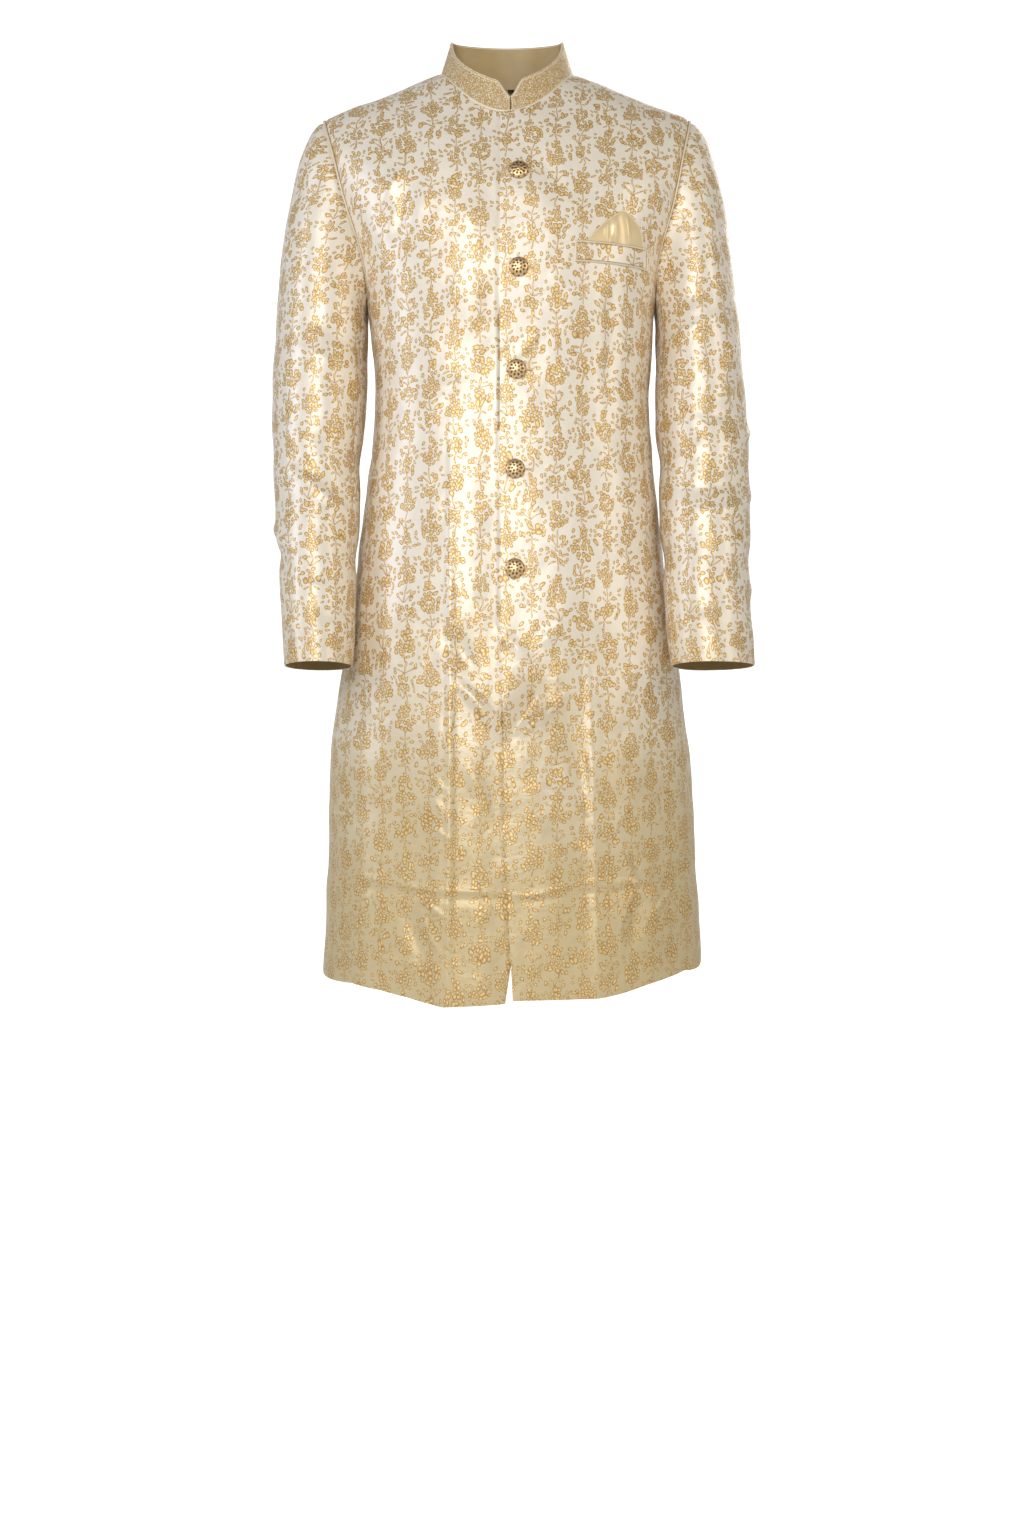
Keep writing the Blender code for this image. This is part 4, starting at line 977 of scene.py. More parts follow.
def make_collar(materials, piping):
    """The stand collar: straight lines from base to top edge. With it come the cord piping of its
    edges, a couched row inside the top edge, and the tape that covers its seam inside."""
    base_left, top_left = collar_half(LEFT)
    base_right, top_right = collar_half(RIGHT)
    base = np.concatenate([base_left, base_right[-2::-1]])
    top = np.concatenate([top_left, top_right[-2::-1]])
    outer = base + (top - base) * np.linspace(0.0, 1.0, 25)[:, None, None]
    normals = surface_normals(outer)
    middle = np.array([0.0, -0.02, 0.0])    # inside the neck, so that the normals turn outwards
    if ((outer - middle) * normals * (1, 1, 0)).sum() < 0:
        normals = -normals
    for end in (0, -1):
        normals[:, end, 0] = 0.0
    normals = unit(normals)
    inner = outer - COLLAR_CLOTH * normals
    round_way = np.linalg.norm(np.diff(outer[12], axis=0), axis=1)
    round_way = np.concatenate([[0.0], np.cumsum(round_way)])
    round_way = round_way - round_way[-1] / 2
    height = np.linalg.norm(outer - outer[:1], axis=-1)
    uv = np.stack([round_way + 0.0 * height, height], axis=-1)
    collar = cloth_shell("collar_band", outer, inner, uv, materials)

    mid = (outer + inner) / 2
    inset = COLLAR_PIPING * 0.9
    top_edge = mid[-1] + inset * unit(mid[0] - mid[-1])
    left_end = mid[1:-1, 0] + inset * unit(mid[1:-1, 2] - mid[1:-1, 0])
    right_end = mid[1:-1, -1] + inset * unit(mid[1:-1, -3] - mid[1:-1, -1])
    path = np.concatenate([left_end, top_edge[1:-1], right_end[::-1]])
    facing = np.concatenate([normals[1:-1, 0], normals[-1, 1:-1], normals[1:-1, -1][::-1]])
    edge = tube("collar_piping_top", path, COLLAR_PIPING, facing, piping)
    down = unit(outer[0] - outer[1])
    low = mid[0] + 0.0010 * down + 0.0005 * normals[0]
    base_cord = tube("collar_piping_base", low[1:-1], BASE_CORD, normals[0, 1:-1], piping)

    inward = COUCHED_INSET * unit(outer[0] - outer[-1])
    row = outer[-1, 6:-6] + inward[6:-6] + 0.0001 * normals[-1, 6:-6]
    inner_row = tube("collar_couched_row", row, COUCHED_ROW, normals[-1, 6:-6], piping, segments=6)

    # the tape lies 0.3 mm inside the collar and falls between its wall's slope and straight down
    nape = np.abs(round_way) < NECK_TAPE_HALF
    fall = np.linspace(-NECK_TAPE_RISE, NECK_TAPE_DROP, 5)[::-1, None, None]
    tape_face = inner[0, nape] - 0.0003 * normals[0, nape] + fall * (0.35 * down[nape] + 0.65 * DOWN)
    tape_back = tape_face - NECK_TAPE_CLOTH * normals[0, nape]
    tape_uv = np.stack(np.broadcast_arrays(round_way[nape], fall[..., 0]), axis=-1)
    tape = cloth_shell("neck_tape", tape_face, tape_back, tape_uv, [materials[1], materials[1]])
    return collar, edge, base_cord, inner_row, tape


def patch_on_front(x, z, lift):
    """Points over the left front's smooth form, moved out along its normal by a lift."""
    step = 0.002
    here = np.stack([x, -body_depth(FRONT, x, z) - SEAM_GAP / 2, z], axis=-1)
    aside = np.stack([x + step, -body_depth(FRONT, x + step, z) - SEAM_GAP / 2, z], axis=-1)
    above = np.stack([x, -body_depth(FRONT, x, z + step) - SEAM_GAP / 2, z + step], axis=-1)
    normal = unit(np.cross(aside - here, above - here))
    return here + np.asarray(lift)[..., None] * normal


def make_pocket(brocade, satin, lining, piping, thread):
    """The welt, its corded border, stitching and end tack, and the satin square with its soft
    upright folds, bell-shaped ridges over places across."""
    u, v = np.meshgrid(np.linspace(0.0, 1.0, 61), np.linspace(0.0, 1.0, 19))
    x = WELT_START + (WELT_END - WELT_START) * u
    z = WELT_TOP - WELT_HEIGHT * (1 - v)
    from_ends = np.minimum(u, 1 - u) * (WELT_END - WELT_START)
    edge = np.minimum(from_ends, np.minimum(v, 1 - v) * WELT_HEIGHT)
    crown = 0.0002 * ease(edge / 0.004)
    face = LAY_GAP + WELT_CLOTH
    inner = patch_on_front(x, z, LAY_GAP + 0.0 * u)
    outer = patch_on_front(x, z, face - 0.0002 + crown)
    welt = cloth_shell("welt_band", outer, inner, np.stack([x, z], axis=-1), [brocade, lining])

    def rectangle(inset, lift):
        """A closed path inside the welt's outline, a lift above the front."""
        left, right = WELT_START + inset, WELT_END - inset
        low, high = WELT_TOP - WELT_HEIGHT + inset, WELT_TOP - inset
        corners = ((left, high), (right, high), (right, low), (left, low), (left, high))
        walk = np.linspace(0, 4, 161)
        border_x, border_z = [np.interp(walk, range(5), line) for line in zip(*corners)]
        return patch_on_front(border_x, border_z, lift + 0.0 * border_x)[:-1]

    border = tube("welt_border", rectangle(0.0009, face - 0.0003), WELT_CORD, OUTWARD, piping,
                  closed=True, segments=6)
    # a dark stitch inside the pale border, which also stands as a painted shadow line beside the border
    # cord
    stitch = tube("welt_stitch_and_shadow", rectangle(0.0025, face - 0.0002), WELT_STITCH, OUTWARD, thread,
                  closed=True, segments=6)
    right, low, high = WELT_END - 0.0008, WELT_TOP - WELT_HEIGHT, WELT_TOP
    tack_z = np.linspace(low + 0.002, high - 0.002, 12)
    tack_path = patch_on_front(0.0 * tack_z + right - 0.0035, tack_z, face + 0.0002 + 0.0 * tack_z)
    tack = tube("welt_tack", tack_path, WELT_TACK, OUTWARD, piping, segments=8)

    u, v = np.meshgrid(np.linspace(0.0, 1.0, 73), np.linspace(0.0, 1.0, 61))
    start = SQUARE_START + (SQUARE_APEX - SQUARE_TOP_HALF - SQUARE_START) * v ** SQUARE_TAPERS[0]
    end = SQUARE_END + (SQUARE_APEX + SQUARE_TOP_HALF - SQUARE_END) * v ** SQUARE_TAPERS[1]
    x = start + (end - start) * u
    z = WELT_TOP + LAY_GAP + SQUARE_HEIGHT * v - SQUARE_SHOULDER * v ** 5 * (2 * u - 1) ** 2
    puff = LAY_GAP + SQUARE_PUFF * np.sin(math.pi * u) * np.sin(math.pi * v)
    folds = np.zeros(u.shape)
    fading = np.sin(math.pi * (0.12 + 0.8 * v))
    from_edge = ease(np.minimum(u, 1 - u) / 0.08)
    for place, lean, height, breadth in SQUARE_FOLDS:
        ridge = np.exp(-((x - place - lean * v) / breadth) ** 2)
        folds = folds + height * ridge * fading * from_edge
    inner = patch_on_front(x, z, puff)
    outer = patch_on_front(x, z, puff + SQUARE_CLOTH + np.maximum(folds, -0.0008))
    square = cloth_shell("square_satin", outer, inner, np.stack([x, z], axis=-1), [satin, satin])
    rim = np.concatenate([outer[1:, 0], outer[-1, 1:-1], outer[1:, -1][::-1]])
    hem = tube("square_hem", rim, SQUARE_HEM, OUTWARD, piping, segments=6)
    return welt, border, stitch, tack, square, hem


def button_relief(radius, turn):
    """Raised work of a button's dome: a lattice pierced by two rings of round hollows, with a
    boss in the middle, rays between the hollows, and a scalloped rim."""
    def band(middle, half):
        """A bell curve across the dome's radius."""
        return np.exp(-((radius - middle) / half) ** 2)

    outer = (0.5 + 0.5 * np.cos(PETALS * turn)) ** 1.5 * band(0.62, 0.13)
    inner = (0.5 + 0.5 * np.cos(PETALS / 2 * turn + math.pi)) ** 1.5 * band(0.32, 0.09)
    notches = (0.5 + 0.5 * np.cos(PETALS * turn + math.pi)) ** 3 * band(0.93, 0.07)
    return np.clip(1.0 - outer - 0.9 * inner - 0.8 * notches, 0.0, 1.0)


def make_button(name, x, z, stand, material):
    """A domed button: a spherical cap over an upright rim, with its raised work along the
    cap's normal, and a flat back."""
    seat = patch_on_front(np.array(x), np.array(z), np.array(stand))
    over = patch_on_front(np.array(x), np.array(z), np.array(stand + 0.01))
    normal = unit(over - seat)
    right = np.array([1.0, 0.0, 0.0])
    up = np.cross(normal, right)
    slope = np.linspace(math.pi / 2, 0.03, BUTTON_RINGS)
    turn = np.linspace(0.0, 2 * math.pi, BUTTON_SEGMENTS, endpoint=False)
    radius = np.sin(slope)[:, None] + 0.0 * turn
    height = BUTTON_RIM + (BUTTON_DOME - BUTTON_RIM) * np.cos(slope)[:, None] + 0.0 * turn
    work = button_relief(radius, turn + 0.0 * radius)
    raised = BUTTON_RELIEF * (work - 1.0)
    flat = BUTTON_RADIUS * radius + raised * radius * 0.35
    height = height + raised * np.cos(slope)[:, None]
    # the flat back and its rounded edge: shares of the radius, and heights
    back = np.array([[0.90, 0.0], [0.985, 0.0], [1.0, 0.0004], [1.0, BUTTON_RIM * 0.7]])
    flat = np.concatenate([BUTTON_RADIUS * back[:, :1] + 0.0 * turn, flat])
    height = np.concatenate([back[:, 1:] + 0.0 * turn, height])
    # the back and the rim beneath the dome are painted dark: painted shade under the button
    shade = np.concatenate([BUTTON_BACK_SHADE + 0.0 * back[:, :1] + 0.0 * turn, work])
    points = seat + (flat * np.cos(turn))[..., None] * right + (flat * np.sin(turn))[..., None] * up
    points = points + height[..., None] * normal
    rows, columns = flat.shape
    verts = np.concatenate([points.reshape(-1, 3), [seat], [seat + BUTTON_DOME * normal]])
    faces = [grid_faces(rows, columns, ring=True), end_fans(rows, columns)]
    uv = np.stack([flat * np.cos(turn), flat * np.sin(turn)], axis=-1).reshape(-1, 2)
    uv = np.concatenate([uv, [[0.0, 0.0]], [[0.0, 0.0]]])
    piece = make_mesh(name, verts, faces, [material], uv, sharp=False)
    layer = piece.data.attributes.new("raised", "FLOAT", "POINT")
    values = np.concatenate([shade.ravel(), [BUTTON_BACK_SHADE, 1.0]])
    layer.data.foreach_set("value", values.astype(np.float32))
    return piece


def linear(code):
    """A linear colour from an sRGB hex code."""
    parts = [int(code[k:k + 2], 16) / 255 for k in (1, 3, 5)]
    parts = [v / 12.92 if v <= 0.04045 else ((v + 0.055) / 1.055) ** 2.4 for v in parts]
    return (*parts, 1.0)


def add(tree, kind, *values, out=0, **settings):
    """Adds one node: the settings are its options, and the values fill its inputs in order."""
    node = tree.nodes.new("ShaderNode" + kind)
    for name, value in settings.items():
        setattr(node, name, value)
    for socket, value in zip([entry for entry in node.inputs if entry.enabled], values):
        if isinstance(value, bpy.types.NodeSocket):
            tree.links.new(value, socket)
        elif value is not None:
            socket.default_value = value
    return [entry for entry in node.outputs if entry.enabled][out]


def link(tree, node, **sockets):
    """Joins outputs to a node's inputs by name, with _ for a space."""
    for name, output in sockets.items():
        tree.links.new(output, node.inputs[name.replace("_", " ")])


def new_material(name, **sockets):
    """A material with its shader's sockets set by name, and the node tree to add to."""
    material = bpy.data.materials.new(name)
    material.use_nodes = True
    shader = material.node_tree.nodes["Principled BSDF"]
    for socket, value in sockets.items():
        shader.inputs[socket.replace("_", " ")].default_value = value
    return material, material.node_tree, shader


# The brocade's repeat in millimetres: the columns' spacing and the drop from one head to the next
COLUMN_SPACING = 30.0
REPEAT = 86.0
REPEAT_TOP = 29.0         # the part of a repeat that lies above the head's centre
PETAL_WIDTH = 4.6         # from one petal to the next
PETAL_HEIGHT = 5.4
PETAL_FAN = 0.30          # how far a row of petals climbs for each millimetre off the axis
COLUMN_DROP = 32.5        # from one column's heads to the next column's
BROCADE_AXIS = -90.9      # across to one column's axis, and up to the centre of one of its heads
BROCADE_HEAD = -568.0
# Half a column, mirrored over its axis: across and up from the head's centre, half width, half
# height, and turn in degrees. The first are filled with petals, the others are whole leaves.
PETALLED = (
    (0.0, -1.0, 12.6, 12.5, 0),
    (0.0, 13.0, 6.4, 12.0, 0),
    (9.6, -24.5, 3.8, 4.2, 0),
    (0.0, -40.5, 7.8, 9.5, 0),
    (10.8, -47.0, 3.0, 4.6, 0),
)
LEAVES = (
    (0.0, -21.0, 0.9, 9.5, 0),
    (3.9, -27.5, 0.8, 5.4, -50),
    (4.6, -20.0, 1.4, 3.0, -58),
    (0.0, -52.5, 0.9, 4.8, 0),
    (4.4, -54.0, 1.3, 3.2, 55),
    (12.6, 18.5, 1.7, 2.6, 25),
    (11.8, 12.0, 2.0, 1.6, 0),
    (12.4, -34.0, 1.7, 2.4, -20),
    (10.8, -39.4, 1.4, 2.8, 30),
    (0.0, 26.6, 1.0, 2.6, 0),
)


def column_of(tree, across):
    """The number of the nearest column, and the distance from its axis."""
    number = add(tree, "Math", across, COLUMN_SPACING, operation="DIVIDE")
    number = add(tree, "Math", number, operation="ROUND")
    offset = add(tree, "Math", number, -COLUMN_SPACING, across, operation="MULTIPLY_ADD")
    return number, add(tree, "Math", offset, operation="ABSOLUTE")


def place_in_repeat(tree, number, offset, up):
    """Across and up from the head's centre, each column a drop lower than the last."""
    up = add(tree, "Math", number, COLUMN_DROP, up, operation="MULTIPLY_ADD")
    up = add(tree, "Math", up, REPEAT_TOP, REPEAT_TOP - REPEAT, operation="WRAP")
    return add(tree, "CombineXYZ", offset, up, 0.0)


def nearest_oval(tree, place, ovals):
    """The least distance from the middle of any oval, in shares of its half sizes."""
    nearest = None
    for x, y, half_width, half_height, turn in ovals:
        local = add(tree, "Mapping", place, (x, y, 0.0), (0.0, 0.0, math.radians(turn)),
                    (half_width, half_height, 1.0), vector_type="TEXTURE")
        length = add(tree, "VectorMath", local, operation="LENGTH")
        nearest = length if nearest is None else add(tree, "Math", nearest, length, operation="MINIMUM")
    return nearest


def brocade_material(name, axis_mm, head_mm):
    """Silk satin brocade: ivory satin floats give the ground long soft highlights, and gilt weft
    petals sit a hair above it, grainy, with dark outlines and paler hearts."""
    material, tree, shader = new_material(
        name, Sheen_Weight=0.08, Sheen_Roughness=0.4, Anisotropic=0.3, Anisotropic_Rotation=0.25)
    cloth = add(tree, "UVMap", uv_map="cloth")
    # drawn figures differ from repeat to repeat: 0.5 mm of drift over 9 mm, and 2 mm over 30 mm
    moved = cloth
    for scale, reach in ((110.0, 0.0022), (33.0, 0.0140)):
        wander = add(tree, "TexNoise", cloth, scale, 1.0, 0.5, noise_dimensions="2D", out=1)
        wander = add(tree, "VectorMath", wander, (0.5, 0.5, 0.5), operation="SUBTRACT")
        wander = add(tree, "VectorMath", wander, (reach, reach, 0.0), operation="MULTIPLY")
        moved = add(tree, "VectorMath", moved, wander, operation="ADD")
    across = add(tree, "SeparateXYZ", moved, out=0)
    across = add(tree, "Math", across, 1000.0, -axis_mm, operation="MULTIPLY_ADD")
    up = add(tree, "SeparateXYZ", moved, out=1)
    up = add(tree, "Math", up, 1000.0, -head_mm, operation="MULTIPLY_ADD")
    number, offset = column_of(tree, across)

    # petals lie in rows that fan out from the axis; one shows where its middle is in a figure
    fanned = add(tree, "Math", offset, -PETAL_FAN, up, operation="MULTIPLY_ADD")
    cell = add(tree, "CombineXYZ", across, fanned, 0.0)
    cell = add(tree, "VectorMath", cell, (PETAL_WIDTH, PETAL_HEIGHT, 1.0), operation="DIVIDE")
    petal = add(tree, "TexVoronoi", cell, 1.0, 0.0, 0.5, 2.0, 0.60, voronoi_dimensions="2D")
    middle = add(tree, "VectorMath", petal.node.outputs["Position"], (PETAL_WIDTH, PETAL_HEIGHT, 1.0),
                 operation="MULTIPLY")
    middle_across = add(tree, "SeparateXYZ", middle, out=0)
    middle_number, middle_offset = column_of(tree, middle_across)
    middle_up = add(tree, "SeparateXYZ", middle, out=1)
    middle_up = add(tree, "Math", middle_offset, PETAL_FAN, middle_up, operation="MULTIPLY_ADD")
    middle = place_in_repeat(tree, middle_number, middle_offset, middle_up)
    within = add(tree, "Math", nearest_oval(tree, middle, PETALLED), 1.0, operation="LESS_THAN")
    luck = add(tree, "SeparateXYZ", petal.node.outputs["Color"], out=0)
    size = add(tree, "MapRange", luck, 0.0, 1.0, 0.44, 0.62)
    petal = add(tree, "Math", petal, size, operation="DIVIDE")
    leaf = nearest_oval(tree, place_in_repeat(tree, number, offset, up), LEAVES)
    outside = add(tree, "MapRange", within, 0.0, 1.0, 9.0, 0.0)
    petal = add(tree, "Math", petal, outside, operation="ADD")
    edge = add(tree, "Math", petal, leaf, operation="MINIMUM")

    # gilt weft is grainy: threads 0.5 mm apart, drawn at 1.2 mm so that they show
    grain = add(tree, "TexNoise", cloth, 850.0, 1.0, 0.5, noise_dimensions="2D")
    edge = add(tree, "Math", grain, 0.3, edge, operation="MULTIPLY_ADD")
    figure = add(tree, "MapRange", edge, 1.00, 1.22, 1.0, 0.0, interpolation_type="SMOOTHSTEP")
    heart = add(tree, "MapRange", edge, 0.45, 0.95, 0.0, 1.0, interpolation_type="SMOOTHSTEP")

    # the ground is ivory on the body and a deeper champagne towards the hem, in soft patches: the
    # patches are the cloth's own tone, and the darkening towards the hem is painted shade for the lesser
    # light on the skirt
    height = add(tree, "SeparateXYZ", add(tree, "TexCoord", out=3), out=2)
    patch = add(tree, "TexNoise", cloth, 9.0, 3.0, 0.55, noise_dimensions="2D")
    hem_shade_and_patches = add(tree, "Math", patch, 0.30, height, operation="MULTIPLY_ADD")
    hem_shade_and_patches = add(tree, "MapRange", hem_shade_and_patches, -0.85, -0.45, 0.0, 1.0, interpolation_type="SMOOTHSTEP")
    ground = add(tree, "Mix", hem_shade_and_patches, linear("#D3BF93"), linear("#EFE5D3"), data_type="RGBA")
    # the gold is paler at the petals' hearts, and the grain flecks it lighter and darker as painted
    # glints of the metal threads
    heart_and_painted_glint = add(tree, "Math", heart, -0.75, grain, operation="MULTIPLY_ADD")
    heart_and_painted_glint = add(tree, "MapRange", heart_and_painted_glint, -0.40, 0.55, 0.0, 1.0)
    gold = add(tree, "Mix", heart_and_painted_glint, linear("#A87830"), linear("#F2D698"), data_type="RGBA")
    colour = add(tree, "Mix", figure, ground, gold, data_type="RGBA")
    metal = add(tree, "MapRange", figure, 0.0, 1.0, 0.16, 0.34)
    gloss = add(tree, "MapRange", figure, 0.0, 1.0, 0.38, 0.41)

    # relief: figures stand 0.24 mm proud, grain 0.16 mm, and the ground has shallow puckers that
    # grow on the skirt
    pucker = add(tree, "TexNoise", cloth, 60.0, 2.0, 0.5, noise_dimensions="2D")
    ripple = add(tree, "VectorMath", cloth, (0.55, 1.0, 1.0), operation="MULTIPLY")
    ripple = add(tree, "TexNoise", ripple, 150.0, 2.0, 0.6, noise_dimensions="2D")
    skirt = add(tree, "MapRange", height, -0.66, -0.74, 0.25, 1.0, interpolation_type="SMOOTHSTEP")
    ripple = add(tree, "Math", ripple, skirt, operation="MULTIPLY")
    pucker = add(tree, "Math", ripple, 0.9, pucker, operation="MULTIPLY_ADD")
    relief_height = add(tree, "Math", figure, 0.30, pucker, operation="MULTIPLY_ADD")
    relief_height = add(tree, "Math", grain, 0.20, relief_height, operation="MULTIPLY_ADD")
    bump = add(tree, "Bump", 0.6, 0.0008)
    link(tree, bump.node, Height=relief_height)
    link(tree, shader, Base_Color=colour, Metallic=metal, Roughness=gloss, Normal=bump)
    return material


def lining_material():
    """Plain champagne satin lining: smooth, a little duller than the face, and darkened as painted shade
    for the shadowed inside of the collar.
    """
    material, tree, shader = new_material("satin_lining_painted_shade", Roughness=0.5, Sheen_Weight=0.1)
    place = add(tree, "TexCoord", out=3)
    cloudy = add(tree, "TexNoise", place, 40.0, 3.0, 0.5)
    # these colours are darker than the lining's own champagne: painted shade
    colour = add(tree, "Mix", cloudy, linear("#A68A58"), linear("#BFA674"), data_type="RGBA")
    link(tree, shader, Base_Color=colour)
    return material


def embroidery_material():
    """Dense couched gold thread: bright knots 2 mm apart with tan furrows between them, in winding
    bands, and a few small pale flowers."""
    material, tree, shader = new_material("couched_gold_embroidery", Roughness=0.42, Metallic=0.20)
    cloth = add(tree, "UVMap", uv_map="cloth")
    knots = add(tree, "TexVoronoi", cloth, 520.0, 0.0, 0.5, 2.0, 0.70, voronoi_dimensions="2D")
    knot = add(tree, "MapRange", knots, 0.20, 0.62, 1.0, 0.0, interpolation_type="SMOOTHSTEP")
    # winding bands about 4 mm apart: a sine of a noise
    bend = add(tree, "TexNoise", cloth, 120.0, 2.0, 0.5, noise_dimensions="2D")
    winding = add(tree, "Math", bend, 36.0, operation="MULTIPLY")
    winding = add(tree, "Math", winding, operation="SINE")
    band = add(tree, "MapRange", winding, -0.9, 0.2, 0.0, 1.0, interpolation_type="SMOOTHSTEP")
    line = add(tree, "Math", knot, band, operation="MULTIPLY")
    # flowers of five petals, 6 mm across and about 20 mm apart
    cells = add(tree, "TexVoronoi", cloth, 50.0, 0.0, 0.5, 2.0, 0.9, voronoi_dimensions="2D")
    middle = add(tree, "VectorMath", cloth, cells.node.outputs["Position"], operation="SUBTRACT")
    aside = add(tree, "SeparateXYZ", middle, out=0)
    above = add(tree, "SeparateXYZ", middle, out=1)
    turn = add(tree, "Math", above, aside, operation="ARCTAN2")
    lobes = add(tree, "Math", turn, 5.0, operation="MULTIPLY")
    lobes = add(tree, "Math", lobes, operation="COSINE")
    reach = add(tree, "Math", lobes, -0.04, cells, operation="MULTIPLY_ADD")
    flower = add(tree, "MapRange", reach, 0.11, 0.17, 0.65, 0.0, interpolation_type="SMOOTHSTEP")
    gold = add(tree, "Mix", line, linear("#C69F60"), linear("#FFF3D4"), data_type="RGBA")
    pale = add(tree, "Mix", knot, linear("#CDB684"), linear("#FBF3DF"), data_type="RGBA")
    colour = add(tree, "Mix", flower, gold, pale, data_type="RGBA")
    height = add(tree, "Math", flower, 0.6, line, operation="MULTIPLY_ADD")
    bump = add(tree, "Bump", 0.9, 0.0005)
    link(tree, bump.node, Height=height)
    link(tree, shader, Base_Color=colour, Normal=bump)
    return material


def satin_material():
    """Weft-faced satin: smooth champagne gold with long soft highlights across its folds."""
    material, tree, shader = new_material(
        "champagne_satin", Roughness=0.28, Metallic=0.25, Anisotropic=0.6, Sheen_Weight=0.1)
    cloth = add(tree, "UVMap", uv_map="cloth")
    cloudy = add(tree, "TexNoise", cloth, 60.0, 2.0, 0.5, noise_dimensions="2D")
    colour = add(tree, "Mix", cloudy, linear("#E0C490"), linear("#EED9AF"), data_type="RGBA")
    link(tree, shader, Base_Color=colour)
    return material


def piping_material(name, dark, light, pitch):
    """Twisted silk cord: slanting strands that catch light one by one, painted dark in their grooves and
    light on their crests as painted shade and highlight.
    """
    material, tree, shader = new_material(name, Roughness=0.42, Metallic=0.15, Sheen_Weight=0.2)
    cloth = add(tree, "UVMap", uv_map="cloth")
    across = add(tree, "SeparateXYZ", cloth, out=0)
    along = add(tree, "SeparateXYZ", cloth, out=1)
    both = add(tree, "Math", across, along, operation="ADD")
    turn = add(tree, "Math", both, 2 * math.pi / pitch, operation="MULTIPLY")
    strand = add(tree, "Math", turn, operation="SINE")
    strand = add(tree, "MapRange", strand, -1.0, 1.0, 0.0, 1.0)
    # painted shade in the grooves between strands, painted highlight on their crests
    colour = add(tree, "Mix", strand, linear(dark), linear(light), data_type="RGBA")
    bump = add(tree, "Bump", 0.5, 0.0002)
    link(tree, bump.node, Height=strand)
    link(tree, shader, Base_Color=colour, Normal=bump)
    return material


def button_material():
    """Cast brass with an antique wash: dark in the recesses, bright on what is raised, and darkened on
    its back and rim beneath as painted shade.
    """
    material, tree, shader = new_material("antiqued_cast_brass", Roughness=0.34, Metallic=1.0)
    raised = add(tree, "Attribute", attribute_name="raised", out=2)
    place = add(tree, "TexCoord", out=3)
    cloudy = add(tree, "TexNoise", place, 900.0, 2.0, 0.5)
    # the antique wash follows the raised work, and the back's low value in the attribute is painted
    # shade
    wash_and_back_shade = add(tree, "Math", cloudy, 0.35, raised, operation="MULTIPLY_ADD")
    wash_and_back_shade = add(tree, "MapRange", wash_and_back_shade, 0.45, 1.15, 0.0, 1.0)
    colour = add(tree, "Mix", wash_and_back_shade, linear("#5A3616"), linear("#EBCB9A"), data_type="RGBA")
    gloss = add(tree, "MapRange", wash_and_back_shade, 0.0, 1.0, 0.62, 0.38)
    link(tree, shader, Base_Color=colour, Roughness=gloss)
    return material


# Camera: lens and sensor height in millimetres, tilt below level in degrees
CAMERA_PLACE = (0.006, -2.466, -0.8384)
CAMERA_TILT = 0.228
LENS = 47.02
SENSOR = 36.0
# Lights: name, place, aim, size, power in watts and colour
LIGHTS = (
    ("key", (-0.55, -3.1, 0.35), (0.0, 0.0, -0.45), (1.6, 1.3), 46.0, "#FFFEFC"),
    ("fill", (2.1, -1.7, 0.3), (0.1, 0.0, -0.5), (0.5, 1.8), 12.0, "#FFF8EE"),
    ("side_cool", (-2.2, -0.9, 0.2), (-0.2, 0.0, -0.4), (0.5, 1.8), 15.0, "#D6E2FF"),
    ("back", (0.9, 2.8, 1.2), (0.0, 0.0, -0.5), (2.4, 1.8), 34.0, "#FFFFFF"),
)
SWEEP_RADIUS = 1.2
SWEEP_START = 2.2         # how far behind the coat the floor begins to rise


def light(name, place, aim, size, power, colour):
    """A square soft light that points from its place to its aim."""
    data = bpy.data.lights.new(name, "AREA")
    data.shape = "RECTANGLE"
    data.size, data.size_y = size
    data.energy = power
    data.color = linear(colour)[:3]
    lamp = bpy.data.objects.new(name, data)
    lamp.visible_camera = False
    bpy.context.scene.collection.objects.link(lamp)
    way = np.array(aim) - np.array(place)
    lamp.location = place
    tilt = math.atan2(math.hypot(way[0], way[1]), -way[2])
    lamp.rotation_euler = (tilt, 0.0, math.atan2(-way[0], way[1]))


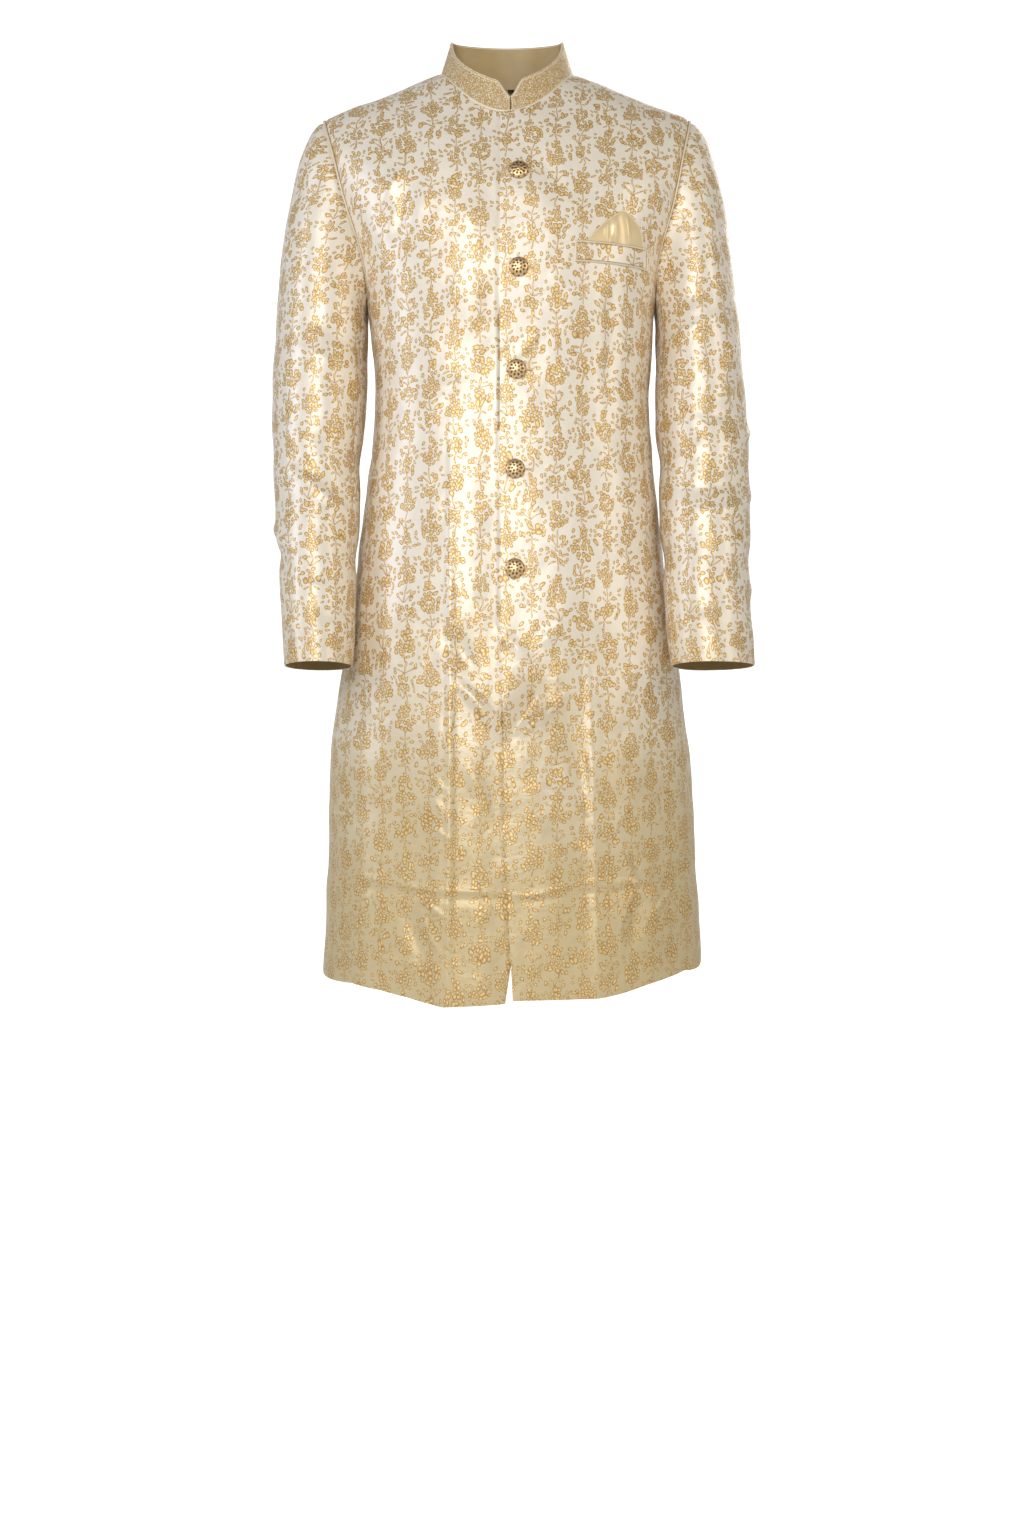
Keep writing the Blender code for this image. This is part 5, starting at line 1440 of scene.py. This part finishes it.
def make_studio():
    """Camera, soft lights, pale surroundings and floor."""
    camera_data = bpy.data.cameras.new("camera")
    camera_data.sensor_fit = "VERTICAL"
    camera_data.sensor_height = SENSOR
    camera_data.lens = LENS
    camera = bpy.data.objects.new("camera", camera_data)
    camera.location = CAMERA_PLACE
    camera.rotation_euler = (math.radians(90 - CAMERA_TILT), 0.0, 0.0)
    bpy.context.scene.collection.objects.link(camera)
    bpy.context.scene.camera = camera

    for row in LIGHTS:
        light(*row)

    # the surroundings look white to the eye, and light the coat more from level than from above
    world = bpy.data.worlds.new("studio")
    world.use_nodes = True
    tree = world.node_tree
    upward = add(tree, "SeparateXYZ", add(tree, "TexCoord", out=0), out=2)
    lit = add(tree, "MapRange", upward, 0.10, 0.70, 0.42, 0.22, interpolation_type="SMOOTHSTEP")
    seen = add(tree, "LightPath", out=0)
    strength = add(tree, "Math", seen, lit, operation="MAXIMUM")
    tree.links.new(strength, tree.nodes["Background"].inputs["Strength"])
    tree.nodes["Background"].inputs["Color"].default_value = linear("#FDFDFD")
    bpy.context.scene.world = world
    bpy.context.scene.view_settings.view_transform = "Standard"

    # the floor bends up into the backdrop by a quarter circle, so that no line shows behind
    turn = np.linspace(0.0, math.pi / 2, 25)
    run = SWEEP_START + SWEEP_RADIUS * np.sin(turn)
    run = np.concatenate([[-6.0], run, [SWEEP_START + SWEEP_RADIUS]])
    rise = np.concatenate([[0.0], SWEEP_RADIUS * (1 - np.cos(turn)), [6.0]]) + FLOOR
    sides = np.array([-7.0, 7.0])
    x, y = np.meshgrid(sides, run)
    z = rise[:, None] + 0.0 * x
    mesh = bpy.data.meshes.new("floor")
    verts = np.stack([x, y, z], axis=-1).reshape(-1, 3)
    mesh.from_pydata(verts.tolist(), [], grid_faces(len(run), 2).tolist())
    mesh.shade_smooth()
    paper, tree, shader = new_material("matt_white_paper_sweep", Roughness=0.9)
    place = add(tree, "TexCoord", out=3)
    cloudy = add(tree, "TexNoise", place, 3.0, 2.0, 0.5)
    colour = add(tree, "Mix", cloudy, linear("#F4F4F3"), linear("#FAFAF9"), data_type="RGBA")
    glow = add(tree, "MapRange", add(tree, "LightPath", out=0), 0.0, 1.0, 0.05, 0.75)
    link(tree, shader, Base_Color=colour, Emission_Color=colour, Emission_Strength=glow)
    mesh.materials.append(paper)
    floor = bpy.data.objects.new("floor", mesh)
    bpy.context.scene.collection.objects.link(floor)


def settle(piece, nodes=()):
    """Puts a piece on the coat's body, and stands it for its nodes."""
    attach(piece, "root")
    if nodes:
        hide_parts(*nodes)


make_studio()

brocade = brocade_material("silk_brocade", BROCADE_AXIS, BROCADE_HEAD)
lining = lining_material()
embroidery = embroidery_material()
satin = satin_material()
piping = piping_material("twisted_silk_cord", "#C9A566", "#F2DDB0", 0.0016)
pale_piping = piping_material("pale_silk_cord", "#E0CBA0", "#FBF3E0", 0.0016)
# a dark bronze thread, used both for stitching and as painted shadow lines beside pale cords
stitch_and_shadow_thread = piping_material("bronze_stitch_and_painted_shadow", "#8E6A36", "#BF9A5C", 0.0010)
brass = button_material()

# Cords of the armhole: name, place back from the sleeve and out of the cloth, radius, thread and
# sides
ARMHOLE_CORDS = (
    ("armhole_piping_", 0.0003, 0.0009, 0.0015, pale_piping, 8),
    # a dark stitch in the ditch beside the pale cord, which also stands as a painted shadow line beside
    # it
    ("armhole_stitch_and_shadow_", 0.0022, 0.0002, 0.0006, stitch_and_shadow_thread, 6),
)

for side, word in ((LEFT, "left"), (RIGHT, "right")):
    edges = {}
    for face, panel, columns in ((FRONT, "front_", FRONT_COLUMNS), (BACK, "back_", BACK_COLUMNS)):
        surface, piece = make_panel(panel + word + "_cloth", face, side, columns, [brocade, lining])
        edges[face] = surface
        settle(piece, [panel + word])
    sleeves = make_sleeve("sleeve_" + word, side, edges[FRONT], edges[BACK], [brocade, lining])
    for piece, ending in zip(sleeves, ("_under", "_top")):
        settle(piece, ["sleeve_" + word + ending])

    loop, leave = armhole_loop(edges[FRONT], edges[BACK])
    out = unit(loop - loop.mean(axis=0) + np.array([side * 0.05, 0.0, 0.0]))
    for name, back, stand, radius, thread, segments in ARMHOLE_CORDS:
        path = loop - back * leave + stand * out
        cord = tube(name + word, path, radius, out, thread, closed=True, segments=segments)
        settle(cord)

collar, *collar_cords = make_collar([embroidery, lining], pale_piping)
settle(collar, ["collar"])
for cord in collar_cords:
    settle(cord)

welt, border, stitch, tack, square, hem = make_pocket(brocade, satin, lining, pale_piping, stitch_and_shadow_thread)
settle(welt, ["pocket_welt"])
for sewn in (border, stitch, tack):
    settle(sewn)
settle(square, ["pocket_square"])
settle(hem)

for number, (across, stand) in enumerate(BUTTONS):
    level = BUTTON_FIRST - BUTTON_SPACING * number
    name = f"button_{number + 1}"
    button = make_button(name + "_filigree", across, level, stand, brass)
    settle(button, [name])
    bar_x = across + BUTTON_RADIUS
    bar_x = np.linspace(bar_x - 0.003, bar_x + BUTTONHOLE_REACH, 12)
    bar_path = patch_on_front(bar_x, level - 0.0008 + 0.0 * bar_x, 0.0007 + 0.0 * bar_x)
    bar = tube(f"buttonhole_{number + 1}", bar_path, BUTTONHOLE_CORD, OUTWARD, piping, segments=8)
    settle(bar)
